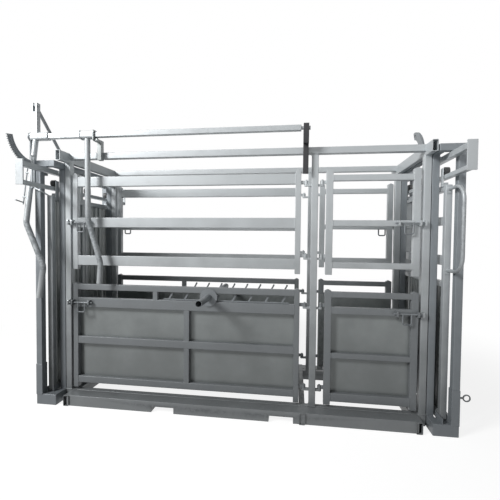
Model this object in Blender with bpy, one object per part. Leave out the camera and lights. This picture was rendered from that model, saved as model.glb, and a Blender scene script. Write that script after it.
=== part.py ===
"""Cattle crush: a galvanised handling crate with sliding head and rear gates and split side gates.

Metres, +Z up. X runs along the crush with the head gate at minus X, and minus Y is the operator's side.
"""

from math import cos, pi, radians, sin, tan

import bmesh
import bpy
from mathutils import Matrix, Vector

for old in list(bpy.data.objects):
    bpy.data.objects.remove(old, do_unlink=True)

# Fits
GAP = 0.0003
WELD = 0.004

# Whole crush
LENGTH = 3.208
WIDTH = 1.0
POST = 0.05
BASE_HEIGHT = 0.085
RAIL_TOP = 2.05
HALF = WIDTH / 2

# Colours
ZINC_BRIGHT = (0.62, 0.66, 0.69)
ZINC_DULL = (0.45, 0.49, 0.52)
SHEET_GREY = (0.38, 0.41, 0.43)
STEEL_DARK = (0.07, 0.07, 0.075)


def prism(outline, along, low, high):
    """A flat outline pushed along an axis: y and z for x, x and z for y, x and y for z."""
    slot = {"x": 0, "y": 1, "z": 2}[along]
    mesh = bmesh.new()
    ends = []
    for level in (low, high):
        ring = []
        for pair in outline:
            point = list(pair)
            point.insert(slot, level)
            ring.append(mesh.verts.new(point))
        ends.append(ring)
    count = len(outline)
    mesh.faces.new(ends[0])
    mesh.faces.new(ends[1])
    for i in range(count):
        mesh.faces.new((ends[0][i], ends[0][(i + 1) % count], ends[1][(i + 1) % count], ends[1][i]))
    bmesh.ops.recalc_face_normals(mesh, faces=mesh.faces)
    return mesh


def block(x0, x1, y0, y1, z0, z1):
    return prism([(x0, y0), (x1, y0), (x1, y1), (x0, y1)], "z", z0, z1)


def circle(centre, radius, sides=12, turned=0.5):
    """A regular outline, with flats at its top and sides, or with corners there where turned is 0."""
    turn = 2 * pi / sides
    return [(centre[0] + radius * cos(turn * (i + turned)), centre[1] + radius * sin(turn * (i + turned)))
            for i in range(sides)]


def running_bore(radius, sides=12):
    """Radius of a faceted bore in which a pin with that radius turns just clear."""
    return (radius + GAP) / cos(pi / sides)


def arc(centre, radius, start, end, steps):
    """Points on an arc, with its angles in degrees."""
    angles = [radians(start + (end - start) * i / steps) for i in range(steps + 1)]
    return [(centre[0] + radius * cos(a), centre[1] + radius * sin(a)) for a in angles]


def rounded(points, radius, steps=4):
    """A path whose inner corners are turned on a radius."""
    path = [Vector(points[0])]
    for before, corner, after in zip(points, points[1:], points[2:]):
        corner = Vector(corner)
        to_start = (Vector(before) - corner).normalized()
        to_end = (Vector(after) - corner).normalized()
        half_turn = to_start.angle(to_end) / 2
        reach = radius / max(0.05, tan(half_turn))
        start = corner + to_start * reach
        end = corner + to_end * reach
        for i in range(steps + 1):
            t = i / steps
            path.append((1 - t) ** 2 * start + 2 * t * (1 - t) * corner + t * t * end)
    path.append(Vector(points[-1]))
    return path


def rod(path, radius, sides=10):
    """A round bar or tube swept along a path, with mitred joints and closed ends."""
    path = [Vector(p) for p in path]
    steps = [(b - a).normalized() for a, b in zip(path, path[1:])]
    up = Vector((0, 0, 1)) if abs(steps[0].z) < 0.9 else Vector((0, 1, 0))
    side = steps[0].cross(up).normalized()
    mesh = bmesh.new()
    rings = []
    for i, point in enumerate(path):
        into = steps[max(0, i - 1)]
        out = steps[min(i, len(steps) - 1)]
        plane = (into + out).normalized()
        side = (side - into * side.dot(into)).normalized()
        other = into.cross(side)
        ring = []
        for k in range(sides):
            angle = 2 * pi * (k + 0.5) / sides
            offset = (side * cos(angle) + other * sin(angle)) * radius
            slip = -offset.dot(plane) / into.dot(plane)
            ring.append(mesh.verts.new(point + offset + into * slip))
        rings.append(ring)
        turned = into.rotation_difference(out)
        side = turned @ side
    for a, b in zip(rings, rings[1:]):
        for k in range(sides):
            mesh.faces.new((a[k], a[(k + 1) % sides], b[(k + 1) % sides], b[k]))
    mesh.faces.new(rings[0])
    mesh.faces.new(rings[-1])
    bmesh.ops.recalc_face_normals(mesh, faces=mesh.faces)
    return mesh


def moved(mesh, x=0.0, y=0.0, z=0.0):
    bmesh.ops.translate(mesh, verts=mesh.verts, vec=(x, y, z))
    return mesh


def mirrored(mesh, axis):
    """The piece reflected in the plane through the origin across the given axis."""
    size = [1, 1, 1]
    size["xyz".index(axis)] = -1
    bmesh.ops.scale(mesh, verts=mesh.verts, vec=size)
    bmesh.ops.reverse_faces(mesh, faces=mesh.faces)
    return mesh


materials = {}


def paint(colour, roughness, metallic):
    key = (colour, roughness, metallic)
    if key not in materials:
        material = bpy.data.materials.new("finish")
        material.use_nodes = True
        shader = material.node_tree.nodes["Principled BSDF"]
        shader.inputs["Base Color"].default_value = (*colour, 1)
        shader.inputs["Roughness"].default_value = roughness
        shader.inputs["Metallic"].default_value = metallic
        materials[key] = material
    return materials[key]


def scene_object(name, mesh):
    data = bpy.data.meshes.new(name)
    mesh.to_mesh(data)
    mesh.free()
    made = bpy.data.objects.new(name, data)
    bpy.context.scene.collection.objects.link(made)
    return made


def body(name, pieces, colour=ZINC_BRIGHT, pivot=(0, 0, 0), cuts=(), roughness=0.42, metallic=0.85):
    """One named sub-part: its pieces welded into a closed body, then cut, with its origin on its joint."""
    made = scene_object(name, pieces[0])
    helpers = []
    for operation, group in (("UNION", pieces[1:]), ("DIFFERENCE", cuts)):
        for piece in group:
            helper = scene_object(name + "_tool", piece)
            helper.hide_render = True
            helper.display_type = "WIRE"
            helpers.append(helper)
            modifier = made.modifiers.new(operation.lower(), "BOOLEAN")
            modifier.operation = operation
            modifier.solver = "EXACT"
            modifier.object = helper
    bpy.context.view_layer.update()
    graph = bpy.context.evaluated_depsgraph_get()
    joined = bpy.data.meshes.new_from_object(made.evaluated_get(graph))
    made.modifiers.clear()
    made.data = joined
    for helper in helpers:
        bpy.data.objects.remove(helper, do_unlink=True)
    joined.transform(Matrix.Translation(-Vector(pivot)))
    made.location = pivot
    joined.materials.clear()
    joined.materials.append(paint(colour, roughness, metallic))
    return made


def both_sides(make):
    """The same piece on the operator's side and on the far side."""
    return [make(), mirrored(make(), "y")]


# Body frame: sills, base rails, cross tubes, posts, top rails and the two cross beams
SIDE_IN = HALF - 0.17
SIDE_OUT = SIDE_IN + POST
SEAM = 0.004
MODULE = 0.171
BODY_END = LENGTH / 2 - MODULE - SEAM
MIDDLE_X = 0.583
TOP_RAIL = 0.05
BEAM_WIDE = 0.04
BEAM_DEEP = 0.08
BASE_RAIL_OUT = HALF - 0.01
BASE_RAIL_WIDE = 0.10
CROSS_WIDE = 0.045
CROSS_AT = (-1.371, 0.511, 1.326)
TUBE_WALL = 0.004
TUBE_BORE = 0.16
FORK_CENTRES = (-0.541, 0.377)
FORK_WIDE = 0.18
FORK_HIGH = 0.045


def open_ends(x0, x1, z0, z1):
    """Cutters for the open bores at both ends of a tube that runs across the crush."""
    bore = block(x0 + TUBE_WALL, x1 - TUBE_WALL, -HALF - 0.01, -HALF + TUBE_BORE,
                 z0 + TUBE_WALL, z1 - TUBE_WALL)
    return [bore, mirrored(bore.copy(), "y")]


def post(x, top):
    return block(x, x + POST, -SIDE_OUT, -SIDE_IN, BASE_HEIGHT - WELD, top)


# Gate hinges: a pin on the middle post and an eye on the gate
HINGE_PIN = 0.0075
HINGE_BORE = 0.0092
HINGE_EYE = 0.015
EYE_HIGH = 0.026
GATE_FRONT = SIDE_OUT - 0.005
GATE_DEEP = 0.04
GATE_BACK = GATE_FRONT - GATE_DEEP
HINGE_Y = -(GATE_FRONT + GATE_BACK) / 2
LEFT_GAP = 0.077
RIGHT_GAP = 0.060
LEFT_HINGE_X = MIDDLE_X - LEFT_GAP / 2
RIGHT_HINGE_X = MIDDLE_X + POST + RIGHT_GAP / 2
UPPER_HINGES = (1.235, 1.79)
LOWER_HINGES = (0.23, 0.86)


def hinge_bracket(x, post_face, height):
    """A shelf on the post with its upright pin."""
    low = height - EYE_HIGH / 2 - GAP
    inward = WELD if post_face > x else -WELD
    shelf = block(min(x, post_face + inward), max(x, post_face + inward),
                  HINGE_Y - HINGE_EYE, HINGE_Y + HINGE_EYE, low - 0.016, low)
    foot = prism(circle((x, HINGE_Y), HINGE_EYE), "z", low - 0.016, low)
    pin = prism(circle((x, HINGE_Y), HINGE_PIN), "z", low - 0.008, height + EYE_HIGH / 2 + 0.008)
    return [shelf, foot, pin]


# Slide bolts: a round bolt in two lugs on the gate and one keeper on the end post
BOLT = 0.007
BOLT_BORE = BOLT + GAP
BOLT_Y = -(SIDE_OUT + 0.014)
LUG_THICK = 0.012
KEEPER_X = BODY_END - 0.034
UPPER_BOLT = 1.483
LOWER_BOLT = 0.822


def lug(x, y_back, height):
    return block(x, x + LUG_THICK, BOLT_Y - 0.019, y_back, height - 0.02, height + 0.02)


def bolt_bore(x, height, reach=0.02):
    return prism(circle((BOLT_Y, height), BOLT_BORE, 12), "x", x - reach, x + LUG_THICK + reach)


def build_body_frame():
    pieces = []
    cuts = []
    beam_x = BODY_END - (POST - BEAM_WIDE) / 2 - BEAM_WIDE
    for x in (-beam_x - BEAM_WIDE, beam_x):
        pieces.append(block(x, x + BEAM_WIDE, -HALF, HALF, RAIL_TOP - BEAM_DEEP, RAIL_TOP))
        cuts += open_ends(x, x + BEAM_WIDE, RAIL_TOP - BEAM_DEEP, RAIL_TOP)
    for x in CROSS_AT:
        pieces.append(block(x, x + CROSS_WIDE, -HALF, HALF, 0, BASE_HEIGHT))
        cuts += open_ends(x, x + CROSS_WIDE, 0, BASE_HEIGHT)
    rail_end = CROSS_AT[2] + CROSS_WIDE / 2
    under_beam = RAIL_TOP - BEAM_DEEP + WELD
    for make in (
        lambda: block(-BODY_END, BODY_END, -SIDE_OUT, -SIDE_IN, 0, BASE_HEIGHT),
        lambda: block(-rail_end, rail_end, -BASE_RAIL_OUT, -BASE_RAIL_OUT + BASE_RAIL_WIDE, 0, BASE_HEIGHT),
        lambda: block(-beam_x - WELD, beam_x + WELD, -SIDE_OUT, -SIDE_IN, RAIL_TOP - TOP_RAIL, RAIL_TOP),
        lambda: post(-BODY_END, under_beam),
        lambda: post(BODY_END - POST, under_beam),
    ):
        pieces += both_sides(make)
    for height in (UPPER_BOLT, LOWER_BOLT):
        for x in (-KEEPER_X, KEEPER_X - LUG_THICK):
            pieces += both_sides(lambda: lug(x, -SIDE_OUT + WELD, height))
            cuts += both_sides(lambda: bolt_bore(x, height, 0.004))
    for centre in FORK_CENTRES:
        x0 = centre - FORK_WIDE / 2
        cuts.append(block(x0, x0 + FORK_WIDE, -HALF - 0.01, HALF + 0.01, -0.01, FORK_HIGH))
    body("body_frame", pieces, cuts=cuts)


def build_middle_post(side_name):
    """The post between the side gates, with the pins that the gates hang on."""
    low, high = BASE_HEIGHT + GAP, RAIL_TOP - TOP_RAIL - GAP
    pieces = [block(MIDDLE_X, MIDDLE_X + POST, -SIDE_OUT, -SIDE_IN, low, high)]
    for height in UPPER_HINGES + LOWER_HINGES:
        for x, face in ((LEFT_HINGE_X, MIDDLE_X), (RIGHT_HINGE_X, MIDDLE_X + POST)):
            pieces += hinge_bracket(x, face, height)
    if side_name == "far":
        pieces = [mirrored(piece, "y") for piece in pieces]
    body(f"middle_post_{side_name}", pieces)


build_body_frame()
for side_name in ("near", "far"):
    build_middle_post(side_name)

# End modules: outer posts, inner posts, stubs, cross beam and base, with a slot for the sliding leaves
END_X = LENGTH / 2
SLOT = MODULE - 2 * POST
SLEEVE_TOP = 0.33
SLEEVE_MORE = 0.004
HEAD_TOP = 1.97
REAR_TOP = 2.02
SEAM_PADS = (0.015, 0.99, 1.84)
CHANNEL_HIGH = 0.125
CHANNEL_WALL = 0.003
LEAF_THICK = 0.045
LEAF_OUT_X = END_X - POST - 0.008
LEAF_IN_X = LEAF_OUT_X - LEAF_THICK
CHANNEL_PLAY = 0.003
CHANNEL_FLOOR = 0.002
PULL_PIN = 0.007
PULL_PIN_BORE = PULL_PIN + GAP
PULL_PIN_Z = 0.27
PULL_PIN_Y = -(HALF - POST / 2)
ENDS = {"head": (HEAD_TOP, -1), "rear": (REAR_TOP, 1)}


def at_end(pieces, side):
    """Pieces drawn for the rear end, turned round for the head end."""
    return [mirrored(piece, "x") if side < 0 else piece for piece in pieces]


def guide_channel(low, reach):
    """The channel that the leaves' feet run in: two upright strips joined by a floor."""
    inner_x = LEAF_IN_X - CHANNEL_PLAY - CHANNEL_WALL
    outer_x = LEAF_OUT_X + CHANNEL_PLAY + CHANNEL_WALL
    floor = BASE_HEIGHT + CHANNEL_FLOOR
    outline = [
        (inner_x, low), (outer_x, low), (outer_x, CHANNEL_HIGH), (outer_x - CHANNEL_WALL, CHANNEL_HIGH),
        (outer_x - CHANNEL_WALL, floor), (inner_x + CHANNEL_WALL, floor),
        (inner_x + CHANNEL_WALL, CHANNEL_HIGH), (inner_x, CHANNEL_HIGH),
    ]
    return prism(outline, "y", -reach, reach)


def build_module(name, top, side):
    inner_x = END_X - MODULE
    slot_x = inner_x + POST
    pieces = []
    for x0, x1 in ((END_X - POST, END_X), (inner_x, slot_x)):
        pieces.append(block(x0, x1, -HALF, HALF, 0, BASE_HEIGHT))
    pieces.append(block(inner_x, slot_x, -HALF, HALF, top - POST, top))
    for make in (
        lambda: block(END_X - POST, END_X, -HALF, -HALF + POST, BASE_HEIGHT - WELD, top),
        lambda: block(inner_x, slot_x, -SIDE_OUT, -SIDE_IN, BASE_HEIGHT - WELD, top - POST + WELD),
        lambda: block(slot_x - WELD, END_X - POST + WELD, -HALF, -HALF + POST, top - POST, top),
        lambda: block(slot_x - WELD, END_X - POST + WELD, -HALF, -HALF + BASE_RAIL_WIDE, 0, BASE_HEIGHT),
        lambda: block(END_X - POST - SLEEVE_MORE, END_X, -HALF - SLEEVE_MORE, -HALF + POST + SLEEVE_MORE,
                      BASE_HEIGHT - WELD, SLEEVE_TOP),
    ):
        pieces += both_sides(make)
    if side > 0:
        pieces.append(guide_channel(BASE_HEIGHT - WELD, HALF))
    for low in SEAM_PADS:
        pieces += both_sides(lambda: block(inner_x - SEAM + GAP, inner_x + WELD,
                                           -SIDE_OUT + 0.01, -SIDE_IN - 0.01, low, low + 0.06))
    cuts = []
    if side > 0:
        cuts += both_sides(lambda: prism(circle((PULL_PIN_Y, PULL_PIN_Z), PULL_PIN_BORE, 12), "x",
                                         END_X - POST - 0.02, END_X + 0.02))
    body(name + "_frame", at_end(pieces, side), cuts=at_end(cuts, side))


for end, (top, side) in ENDS.items():
    build_module(end, top, side)
head_channel = guide_channel(BASE_HEIGHT + GAP, HALF - POST - SLEEVE_MORE - GAP)
body("head_channel", at_end([head_channel], ENDS["head"][1]))

# Side gates: four on each side, hung on the middle post and closing against the end posts
GATE_END = BODY_END - POST - 0.015
LEFT_STILE = 0.042
RIGHT_STILE = 0.050
UPPER_LOW = 1.095
UPPER_HIGH = 1.89
LOWER_LOW = 0.105
LOWER_HIGH = 0.985
STILE_CROWN = 0.012
SHEET_THICK = 0.003
EYE_ARM = 0.016
# Low and high edges of each rail, from the bottom up. The bolts are on the middle or the third one
GATE_RAILS = {
    ("upper", "left"): ((1.130, 1.210), (UPPER_BOLT - 0.040, UPPER_BOLT + 0.040), (1.777, 1.857)),
    ("upper", "right"): ((1.145, 1.190), (UPPER_BOLT - 0.023, UPPER_BOLT + 0.023), (1.797, 1.843)),
    ("lower", "left"): ((0.145, 0.200), (0.476, 0.536),
                        (LOWER_BOLT - 0.040, LOWER_BOLT + 0.038), (0.925, 0.973)),
    ("lower", "right"): ((0.131, 0.196), (0.462, 0.504),
                         (LOWER_BOLT - 0.022, LOWER_BOLT + 0.030), (0.925, 0.968)),
}
PANEL_DIVIDER = -0.410
# The rump bar racks' teeth end at the hinge stile, and the slot divider stands in front of the first
TOOTH_PITCH = 0.13
TOOTH_COUNT = 8
RACK_END = MIDDLE_X - LEFT_GAP - LEFT_STILE - 0.0415
FIRST_TOOTH = RACK_END - 0.06 - (TOOTH_COUNT - 1) * TOOTH_PITCH
SLOT_DIVIDER = FIRST_TOOTH - 0.1225


def gate_reach(half):
    """The x of the stile at the end post and of the stile at the hinge."""
    if half == "left":
        return -GATE_END, MIDDLE_X - LEFT_GAP
    return GATE_END, MIDDLE_X + POST + RIGHT_GAP


def stile(x0, x1, low, high):
    """A box stile with a crowned cap."""
    middle = (x0 + x1) / 2
    crown = [(x0, low), (x1, low), (x1, high - STILE_CROWN), (middle, high), (x0, high - STILE_CROWN)]
    return prism(crown, "y", -GATE_FRONT, -GATE_BACK)


def gate_pieces(level, half):
    end_x, hinge_x = gate_reach(half)
    into = 1 if half == "left" else -1
    wide = LEFT_STILE if half == "left" else RIGHT_STILE
    low, high = (UPPER_LOW, UPPER_HIGH) if level == "upper" else (LOWER_LOW, LOWER_HIGH)
    pieces = [stile(min(x, x + step * wide), max(x, x + step * wide), low, high)
              for x, step in ((end_x, into), (hinge_x, -into))]
    inner = sorted((end_x + into * (wide - WELD), hinge_x - into * (wide - WELD)))
    for rail_low, rail_high in GATE_RAILS[level, half]:
        pieces.append(block(*inner, -GATE_FRONT + 0.001, -GATE_BACK - 0.001, rail_low, rail_high))
    if (level, half) == ("lower", "left"):
        rails = GATE_RAILS[level, half]
        pieces.append(block(PANEL_DIVIDER, PANEL_DIVIDER + 0.045, -GATE_FRONT + 0.002, -GATE_BACK - 0.002,
                            rails[0][1] - WELD, rails[2][0] + WELD))
        pieces.append(block(SLOT_DIVIDER, SLOT_DIVIDER + 0.04, -GATE_FRONT + 0.002, -GATE_BACK - 0.002,
                            rails[2][1] - WELD, rails[3][0] + WELD))
    return pieces


def hinge_eyes(half, heights):
    _, stile_x = gate_reach(half)
    axis_x = LEFT_HINGE_X if half == "left" else RIGHT_HINGE_X
    weld_x = stile_x - WELD if half == "left" else stile_x + WELD
    pieces = []
    cuts = []
    for height in heights:
        low, high = height - EYE_HIGH / 2, height + EYE_HIGH / 2
        pieces.append(block(min(axis_x, weld_x), max(axis_x, weld_x),
                            HINGE_Y - EYE_ARM / 2, HINGE_Y + EYE_ARM / 2, low, high))
        pieces.append(prism(circle((axis_x, HINGE_Y), HINGE_EYE), "z", low, high))
        cuts.append(prism(circle((axis_x, HINGE_Y), HINGE_BORE), "z", low - 0.01, high + 0.01))
    return pieces, cuts


# Slide bolt positions, written for the left gates
BOLT_TIP = -(KEEPER_X - LUG_THICK - 0.002)
BOLT_TAIL = -1.185
LOOP_LEGS = (-1.310, -1.250)
LOOP_DROP = 0.078
LOOP_WIRE = 0.006
GUIDES_AT = (-1.362, -1.215)
BOLT_TRAVEL = 0.03


def bolt_lugs(height):
    pieces = [lug(x, -GATE_FRONT + WELD, height) for x in GUIDES_AT]
    cuts = [bolt_bore(x, height, 0.01) for x in GUIDES_AT]
    return pieces, cuts


def build_gate(level, half, side_name):
    far = side_name == "far"
    pieces = gate_pieces(level, half)
    eyes, bores = hinge_eyes(half, UPPER_HINGES if level == "upper" else LOWER_HINGES)
    lugs, bolt_holes = bolt_lugs(UPPER_BOLT if level == "upper" else LOWER_BOLT)
    if half == "right":
        lugs = [mirrored(piece, "x") for piece in lugs]
        bolt_holes = [mirrored(piece, "x") for piece in bolt_holes]
    pieces += eyes + lugs
    cuts = bores + bolt_holes
    if far:
        pieces = [mirrored(piece, "y") for piece in pieces]
        cuts = [mirrored(piece, "y") for piece in cuts]
    axis_x = LEFT_HINGE_X if half == "left" else RIGHT_HINGE_X
    pivot = (axis_x, -HINGE_Y if far else HINGE_Y, (UPPER_LOW if level == "upper" else LOWER_LOW))
    return body(f"gate_{level}_{half}_{side_name}", pieces, cuts=cuts, pivot=pivot)


def build_gate_sheet(half, side_name, parent):
    end_x, hinge_x = gate_reach(half)
    into = 1 if half == "left" else -1
    x0, x1 = sorted((end_x + into * 0.012, hinge_x - into * 0.012))
    rails = GATE_RAILS["lower", half]
    y0 = -GATE_BACK + GAP
    sheet = block(x0, x1, y0, y0 + SHEET_THICK, rails[0][0] + 0.008, rails[2][1] - 0.012)
    fold = block(x0, x1, y0, y0 + 0.014, rails[0][0] + 0.008, rails[0][0] + 0.011)
    pieces = [sheet, fold]
    if side_name == "far":
        pieces = [mirrored(piece, "y") for piece in pieces]
    made = body(f"sheet_{half}_{side_name}", pieces, SHEET_GREY, pivot=tuple(parent.location), roughness=0.35)
    attach(made, parent)


def build_bolt(level, half, side_name, parent):
    height = UPPER_BOLT if level == "upper" else LOWER_BOLT
    legs = LOOP_LEGS
    shaft = prism(circle((BOLT_Y, height), BOLT), "x", BOLT_TIP, BOLT_TAIL)
    path = [(legs[0], BOLT_Y, height), (legs[0], BOLT_Y, height - LOOP_DROP),
            (legs[1], BOLT_Y, height - LOOP_DROP), (legs[1], BOLT_Y, height)]
    loop = rod(rounded(path, 0.014, 3), LOOP_WIRE, 8)
    pieces = [shaft, loop]
    if half == "right":
        pieces = [mirrored(piece, "x") for piece in pieces]
    if side_name == "far":
        pieces = [mirrored(piece, "y") for piece in pieces]
    sign_x = 1 if half == "left" else -1
    sign_y = -1 if side_name == "far" else 1
    made = body(f"bolt_{level}_{half}_{side_name}", pieces, ZINC_DULL,
                pivot=(sign_x * BOLT_TIP, sign_y * BOLT_Y, height))
    attach(made, parent)


def attach(child, parent):
    """Parents a piece and keeps it where it is."""
    child.parent = parent
    child.location = Vector(child.location) - Vector(parent.location)


# Rump bar racks: rows of leaning teeth between the two upper rails of the lower left gates
TOOTH_WIDE = 0.016
TOOTH_LEAN = 0.020
TOOTH_HIGH = 0.044
RACK_FOOT = 0.010
RACK_THICK = 0.008
RUMP_BAR = 0.025
RUMP_WALL = 0.003
RUMP_BETWEEN = 2


def rack_outline(low):
    """The rack's edge: a foot strip and teeth that lean forward and end in a curl."""
    start = FIRST_TOOTH - 0.04
    top = low + RACK_FOOT
    points = [(start, low), (RACK_END, low), (RACK_END, top)]
    for i in reversed(range(TOOTH_COUNT)):
        x = FIRST_TOOTH + i * TOOTH_PITCH
        points.append((x + TOOTH_WIDE, top))
        points.append((x + TOOTH_WIDE + TOOTH_LEAN, top + TOOTH_HIGH - 0.012))
        points += arc((x + TOOTH_LEAN + TOOTH_WIDE / 2 + 0.002, top + TOOTH_HIGH - 0.006), 0.009, 20, 200, 4)
        points.append((x, top))
    points.append((start, top))
    return points


def build_rack(side_name, parent):
    rails = GATE_RAILS["lower", "left"]
    y1 = -GATE_BACK - 0.008
    rack = prism(rack_outline(rails[2][1] + GAP), "y", y1 - RACK_THICK, y1)
    if side_name == "far":
        rack = mirrored(rack, "y")
    made = body(f"rack_{side_name}", [rack], ZINC_DULL, pivot=tuple(parent.location))
    attach(made, parent)


# Rump bar: an open tube with a stop disc, pushed through the racks behind the animal
RUMP_X = FIRST_TOOTH + (RUMP_BETWEEN + 0.5) * TOOTH_PITCH + (TOOTH_WIDE + TOOTH_LEAN) / 2
RUMP_STUB = 0.28
DISC = 0.070
DISC_THICK = 0.006
RUMP_FAR_END = GATE_BACK - 0.035


def build_rump_bar(parent):
    rails = GATE_RAILS["lower", "left"]
    centre = (RUMP_X, rails[2][1] + RACK_FOOT + RUMP_BAR + 2 * GAP)
    disc_y = -GATE_FRONT - 0.004
    pieces = [
        prism(circle(centre, RUMP_BAR, 20, turned=0), "y", disc_y - RUMP_STUB, RUMP_FAR_END),
        prism(circle(centre, DISC, 28), "y", disc_y - DISC_THICK, disc_y),
    ]
    bore = prism(circle(centre, RUMP_BAR - RUMP_WALL, 20, turned=0), "y",
                 disc_y - RUMP_STUB - 0.01, RUMP_FAR_END + 0.01)
    made = body("rump_bar", pieces, ZINC_DULL, pivot=(centre[0], disc_y, centre[1]), cuts=[bore])
    attach(made, parent)


for side_name in ("near", "far"):
    for half in ("left", "right"):
        for level in ("upper", "lower"):
            gate = build_gate(level, half, side_name)
            build_bolt(level, half, side_name, gate)
            if level == "lower":
                build_gate_sheet(half, side_name, gate)
                if half == "left":
                    build_rack(side_name, gate)
                    if side_name == "near":
                        build_rump_bar(gate)

# Door tracks: two bars across each end module, closed by end plates
TRACK_OUT = HALF + 0.245
PLATE_THICK = 0.010
PLATE_WIDE = 0.060
BAR_WIDE = 0.040
TRACK_MID_X = (LEAF_OUT_X + LEAF_IN_X) / 2
TRACK_TOP_DROP = 0.055
UPPER_BAR = 0.040
TRACK_SPACE = 0.100
LOWER_BAR = 0.030


def track_heights(top):
    """Underside and top of the lower bar, then of the upper bar."""
    upper_top = top - TRACK_TOP_DROP
    lower_top = upper_top - UPPER_BAR - TRACK_SPACE
    return lower_top - LOWER_BAR, lower_top, upper_top - UPPER_BAR, upper_top


def build_track(name, top, side):
    low0, low1, high0, high1 = track_heights(top)
    x0, x1 = TRACK_MID_X - BAR_WIDE / 2, TRACK_MID_X + BAR_WIDE / 2
    reach = TRACK_OUT - PLATE_THICK + WELD
    pieces = [block(x0, x1, -reach, reach, low0, low1), block(x0, x1, -reach, reach, high0, high1)]
    for make in (
        lambda: block(TRACK_MID_X - PLATE_WIDE / 2, TRACK_MID_X + PLATE_WIDE / 2,
                      -TRACK_OUT, -TRACK_OUT + PLATE_THICK, low0 - 0.005, high1 + 0.01),
        lambda: block(x1 - WELD, END_X - POST - GAP, -HALF + 0.01, -HALF + 0.04,
                      high0 + 0.005, high1 - 0.005),
        lambda: block(END_X - MODULE + POST + GAP, x0 + WELD, -SIDE_OUT + 0.01, -SIDE_IN - 0.01,
                      high0 + 0.005, high1 - 0.005),
    ):
        pieces += both_sides(make)
    body(name + "_track", at_end(pieces, side), ZINC_DULL)


# Sliding leaves: two to each end, hung from rollers on the track
LEAF_OUTER_Y = HALF - 0.06
LEAF_MEET_Y = 0.003
LEAF_STILE = 0.040
LEAF_LOW = 0.092
LEAF_TOP_DROP = 0.045
ROLLER = 0.028
ROLLER_WIDE = 0.030
AXLE = 0.0062
ROLLER_AT = (LEAF_OUTER_Y - 0.055, 0.060)
HANGER_THICK = 0.006
HANGER_WIDE = 0.040
REAR_RAILS = ((1.185, 1.255), (1.470, 1.530))
REAR_SHEET_TOP = 1.03


def leaf_top(top):
    return track_heights(top)[0] - LEAF_TOP_DROP


def hangers(top):
    """Hanger plates beside the lower bar, each with its foot on the leaf and its axle through a roller."""
    low0, low1, _, _ = track_heights(top)
    plate_x = TRACK_MID_X - BAR_WIDE / 2 - 0.004
    axle_z = low1 + ROLLER + GAP
    pieces = []
    for y in ROLLER_AT:
        wide = (-y - HANGER_WIDE / 2, -y + HANGER_WIDE / 2)
        low = leaf_top(top) - 0.01
        pieces.append(block(plate_x - HANGER_THICK, plate_x, *wide, low, axle_z + 0.02))
        pieces.append(block(plate_x - HANGER_THICK, LEAF_OUT_X - 0.015, *wide, low, low + 0.03))
        pieces.append(prism(circle((-y, axle_z), AXLE, turned=0), "x",
                            plate_x - 0.003, TRACK_MID_X + BAR_WIDE / 2))
    return pieces


def leaf_frame(top):
    high = leaf_top(top)
    x0, x1 = LEAF_IN_X, LEAF_OUT_X
    inner = (-LEAF_OUTER_Y + LEAF_STILE - WELD, -LEAF_MEET_Y - LEAF_STILE + WELD)
    return [
        block(x0, x1, -LEAF_OUTER_Y, -LEAF_OUTER_Y + LEAF_STILE, LEAF_LOW, high),
        block(x0, x1, -LEAF_MEET_Y - LEAF_STILE, -LEAF_MEET_Y, LEAF_LOW, high),
        block(x0, x1, *inner, LEAF_LOW, LEAF_LOW + LEAF_STILE),
        block(x0, x1, *inner, high - LEAF_STILE, high),
    ]


def folded_sheet(low, high, ribs=5):
    """A sheet with upright folded ribs, standing between the leaf's stiles."""
    y0 = -LEAF_OUTER_Y + LEAF_STILE + GAP
    y1 = -LEAF_MEET_Y - LEAF_STILE - GAP
    pitch = (y1 - y0) / ribs
    back = TRACK_MID_X - 0.008
    line = []
    for i in range(ribs):
        start = y0 + i * pitch
        line += [(back, start), (back, start + pitch * 0.34), (back + 0.014, start + pitch * 0.44),
                 (back + 0.014, start + pitch * 0.56), (back, start + pitch * 0.66)]
    line.append((back, y1))
    return prism(line + [(x + SHEET_THICK, y) for x, y in reversed(line)], "z", low, high)


def build_leaf(end, top, side, far):
    side_name = "far" if far else "near"
    pieces = leaf_frame(top) + hangers(top)
    high = leaf_top(top)
    if end == "rear":
        for low_edge, high_edge in REAR_RAILS:
            pieces.append(block(LEAF_IN_X + 0.003, LEAF_OUT_X - 0.003, -LEAF_OUTER_Y + LEAF_STILE - WELD,
                                -LEAF_MEET_Y - LEAF_STILE + WELD, low_edge, high_edge))
        pieces.append(block(LEAF_IN_X + 0.003, LEAF_OUT_X - 0.003, -LEAF_OUTER_Y + LEAF_STILE - WELD,
                            -LEAF_MEET_Y - LEAF_STILE + WELD, REAR_SHEET_TOP, REAR_SHEET_TOP + 0.04))
        sheet = folded_sheet(LEAF_LOW + LEAF_STILE + GAP, REAR_SHEET_TOP - GAP)
    else:
        sheet = folded_sheet(LEAF_LOW + LEAF_STILE + GAP, high - LEAF_STILE - GAP)
        pieces += head_drive(top, far)
    sheet_pieces = [sheet]
    if far:
        pieces = [mirrored(piece, "y") for piece in pieces]
        sheet_pieces = [mirrored(piece, "y") for piece in sheet_pieces]
    leaf = body(f"{end}_leaf_{side_name}", at_end(pieces, side), ZINC_DULL)
    made = body(f"{end}_leaf_sheet_{side_name}", at_end(sheet_pieces, side), SHEET_GREY, roughness=0.35)
    attach(made, leaf)
    for place, y in zip(("outer", "inner"), ROLLER_AT):
        build_roller(f"{end}_roller_{place}_{side_name}", top, side, y if far else -y, leaf)
    return leaf


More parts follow.
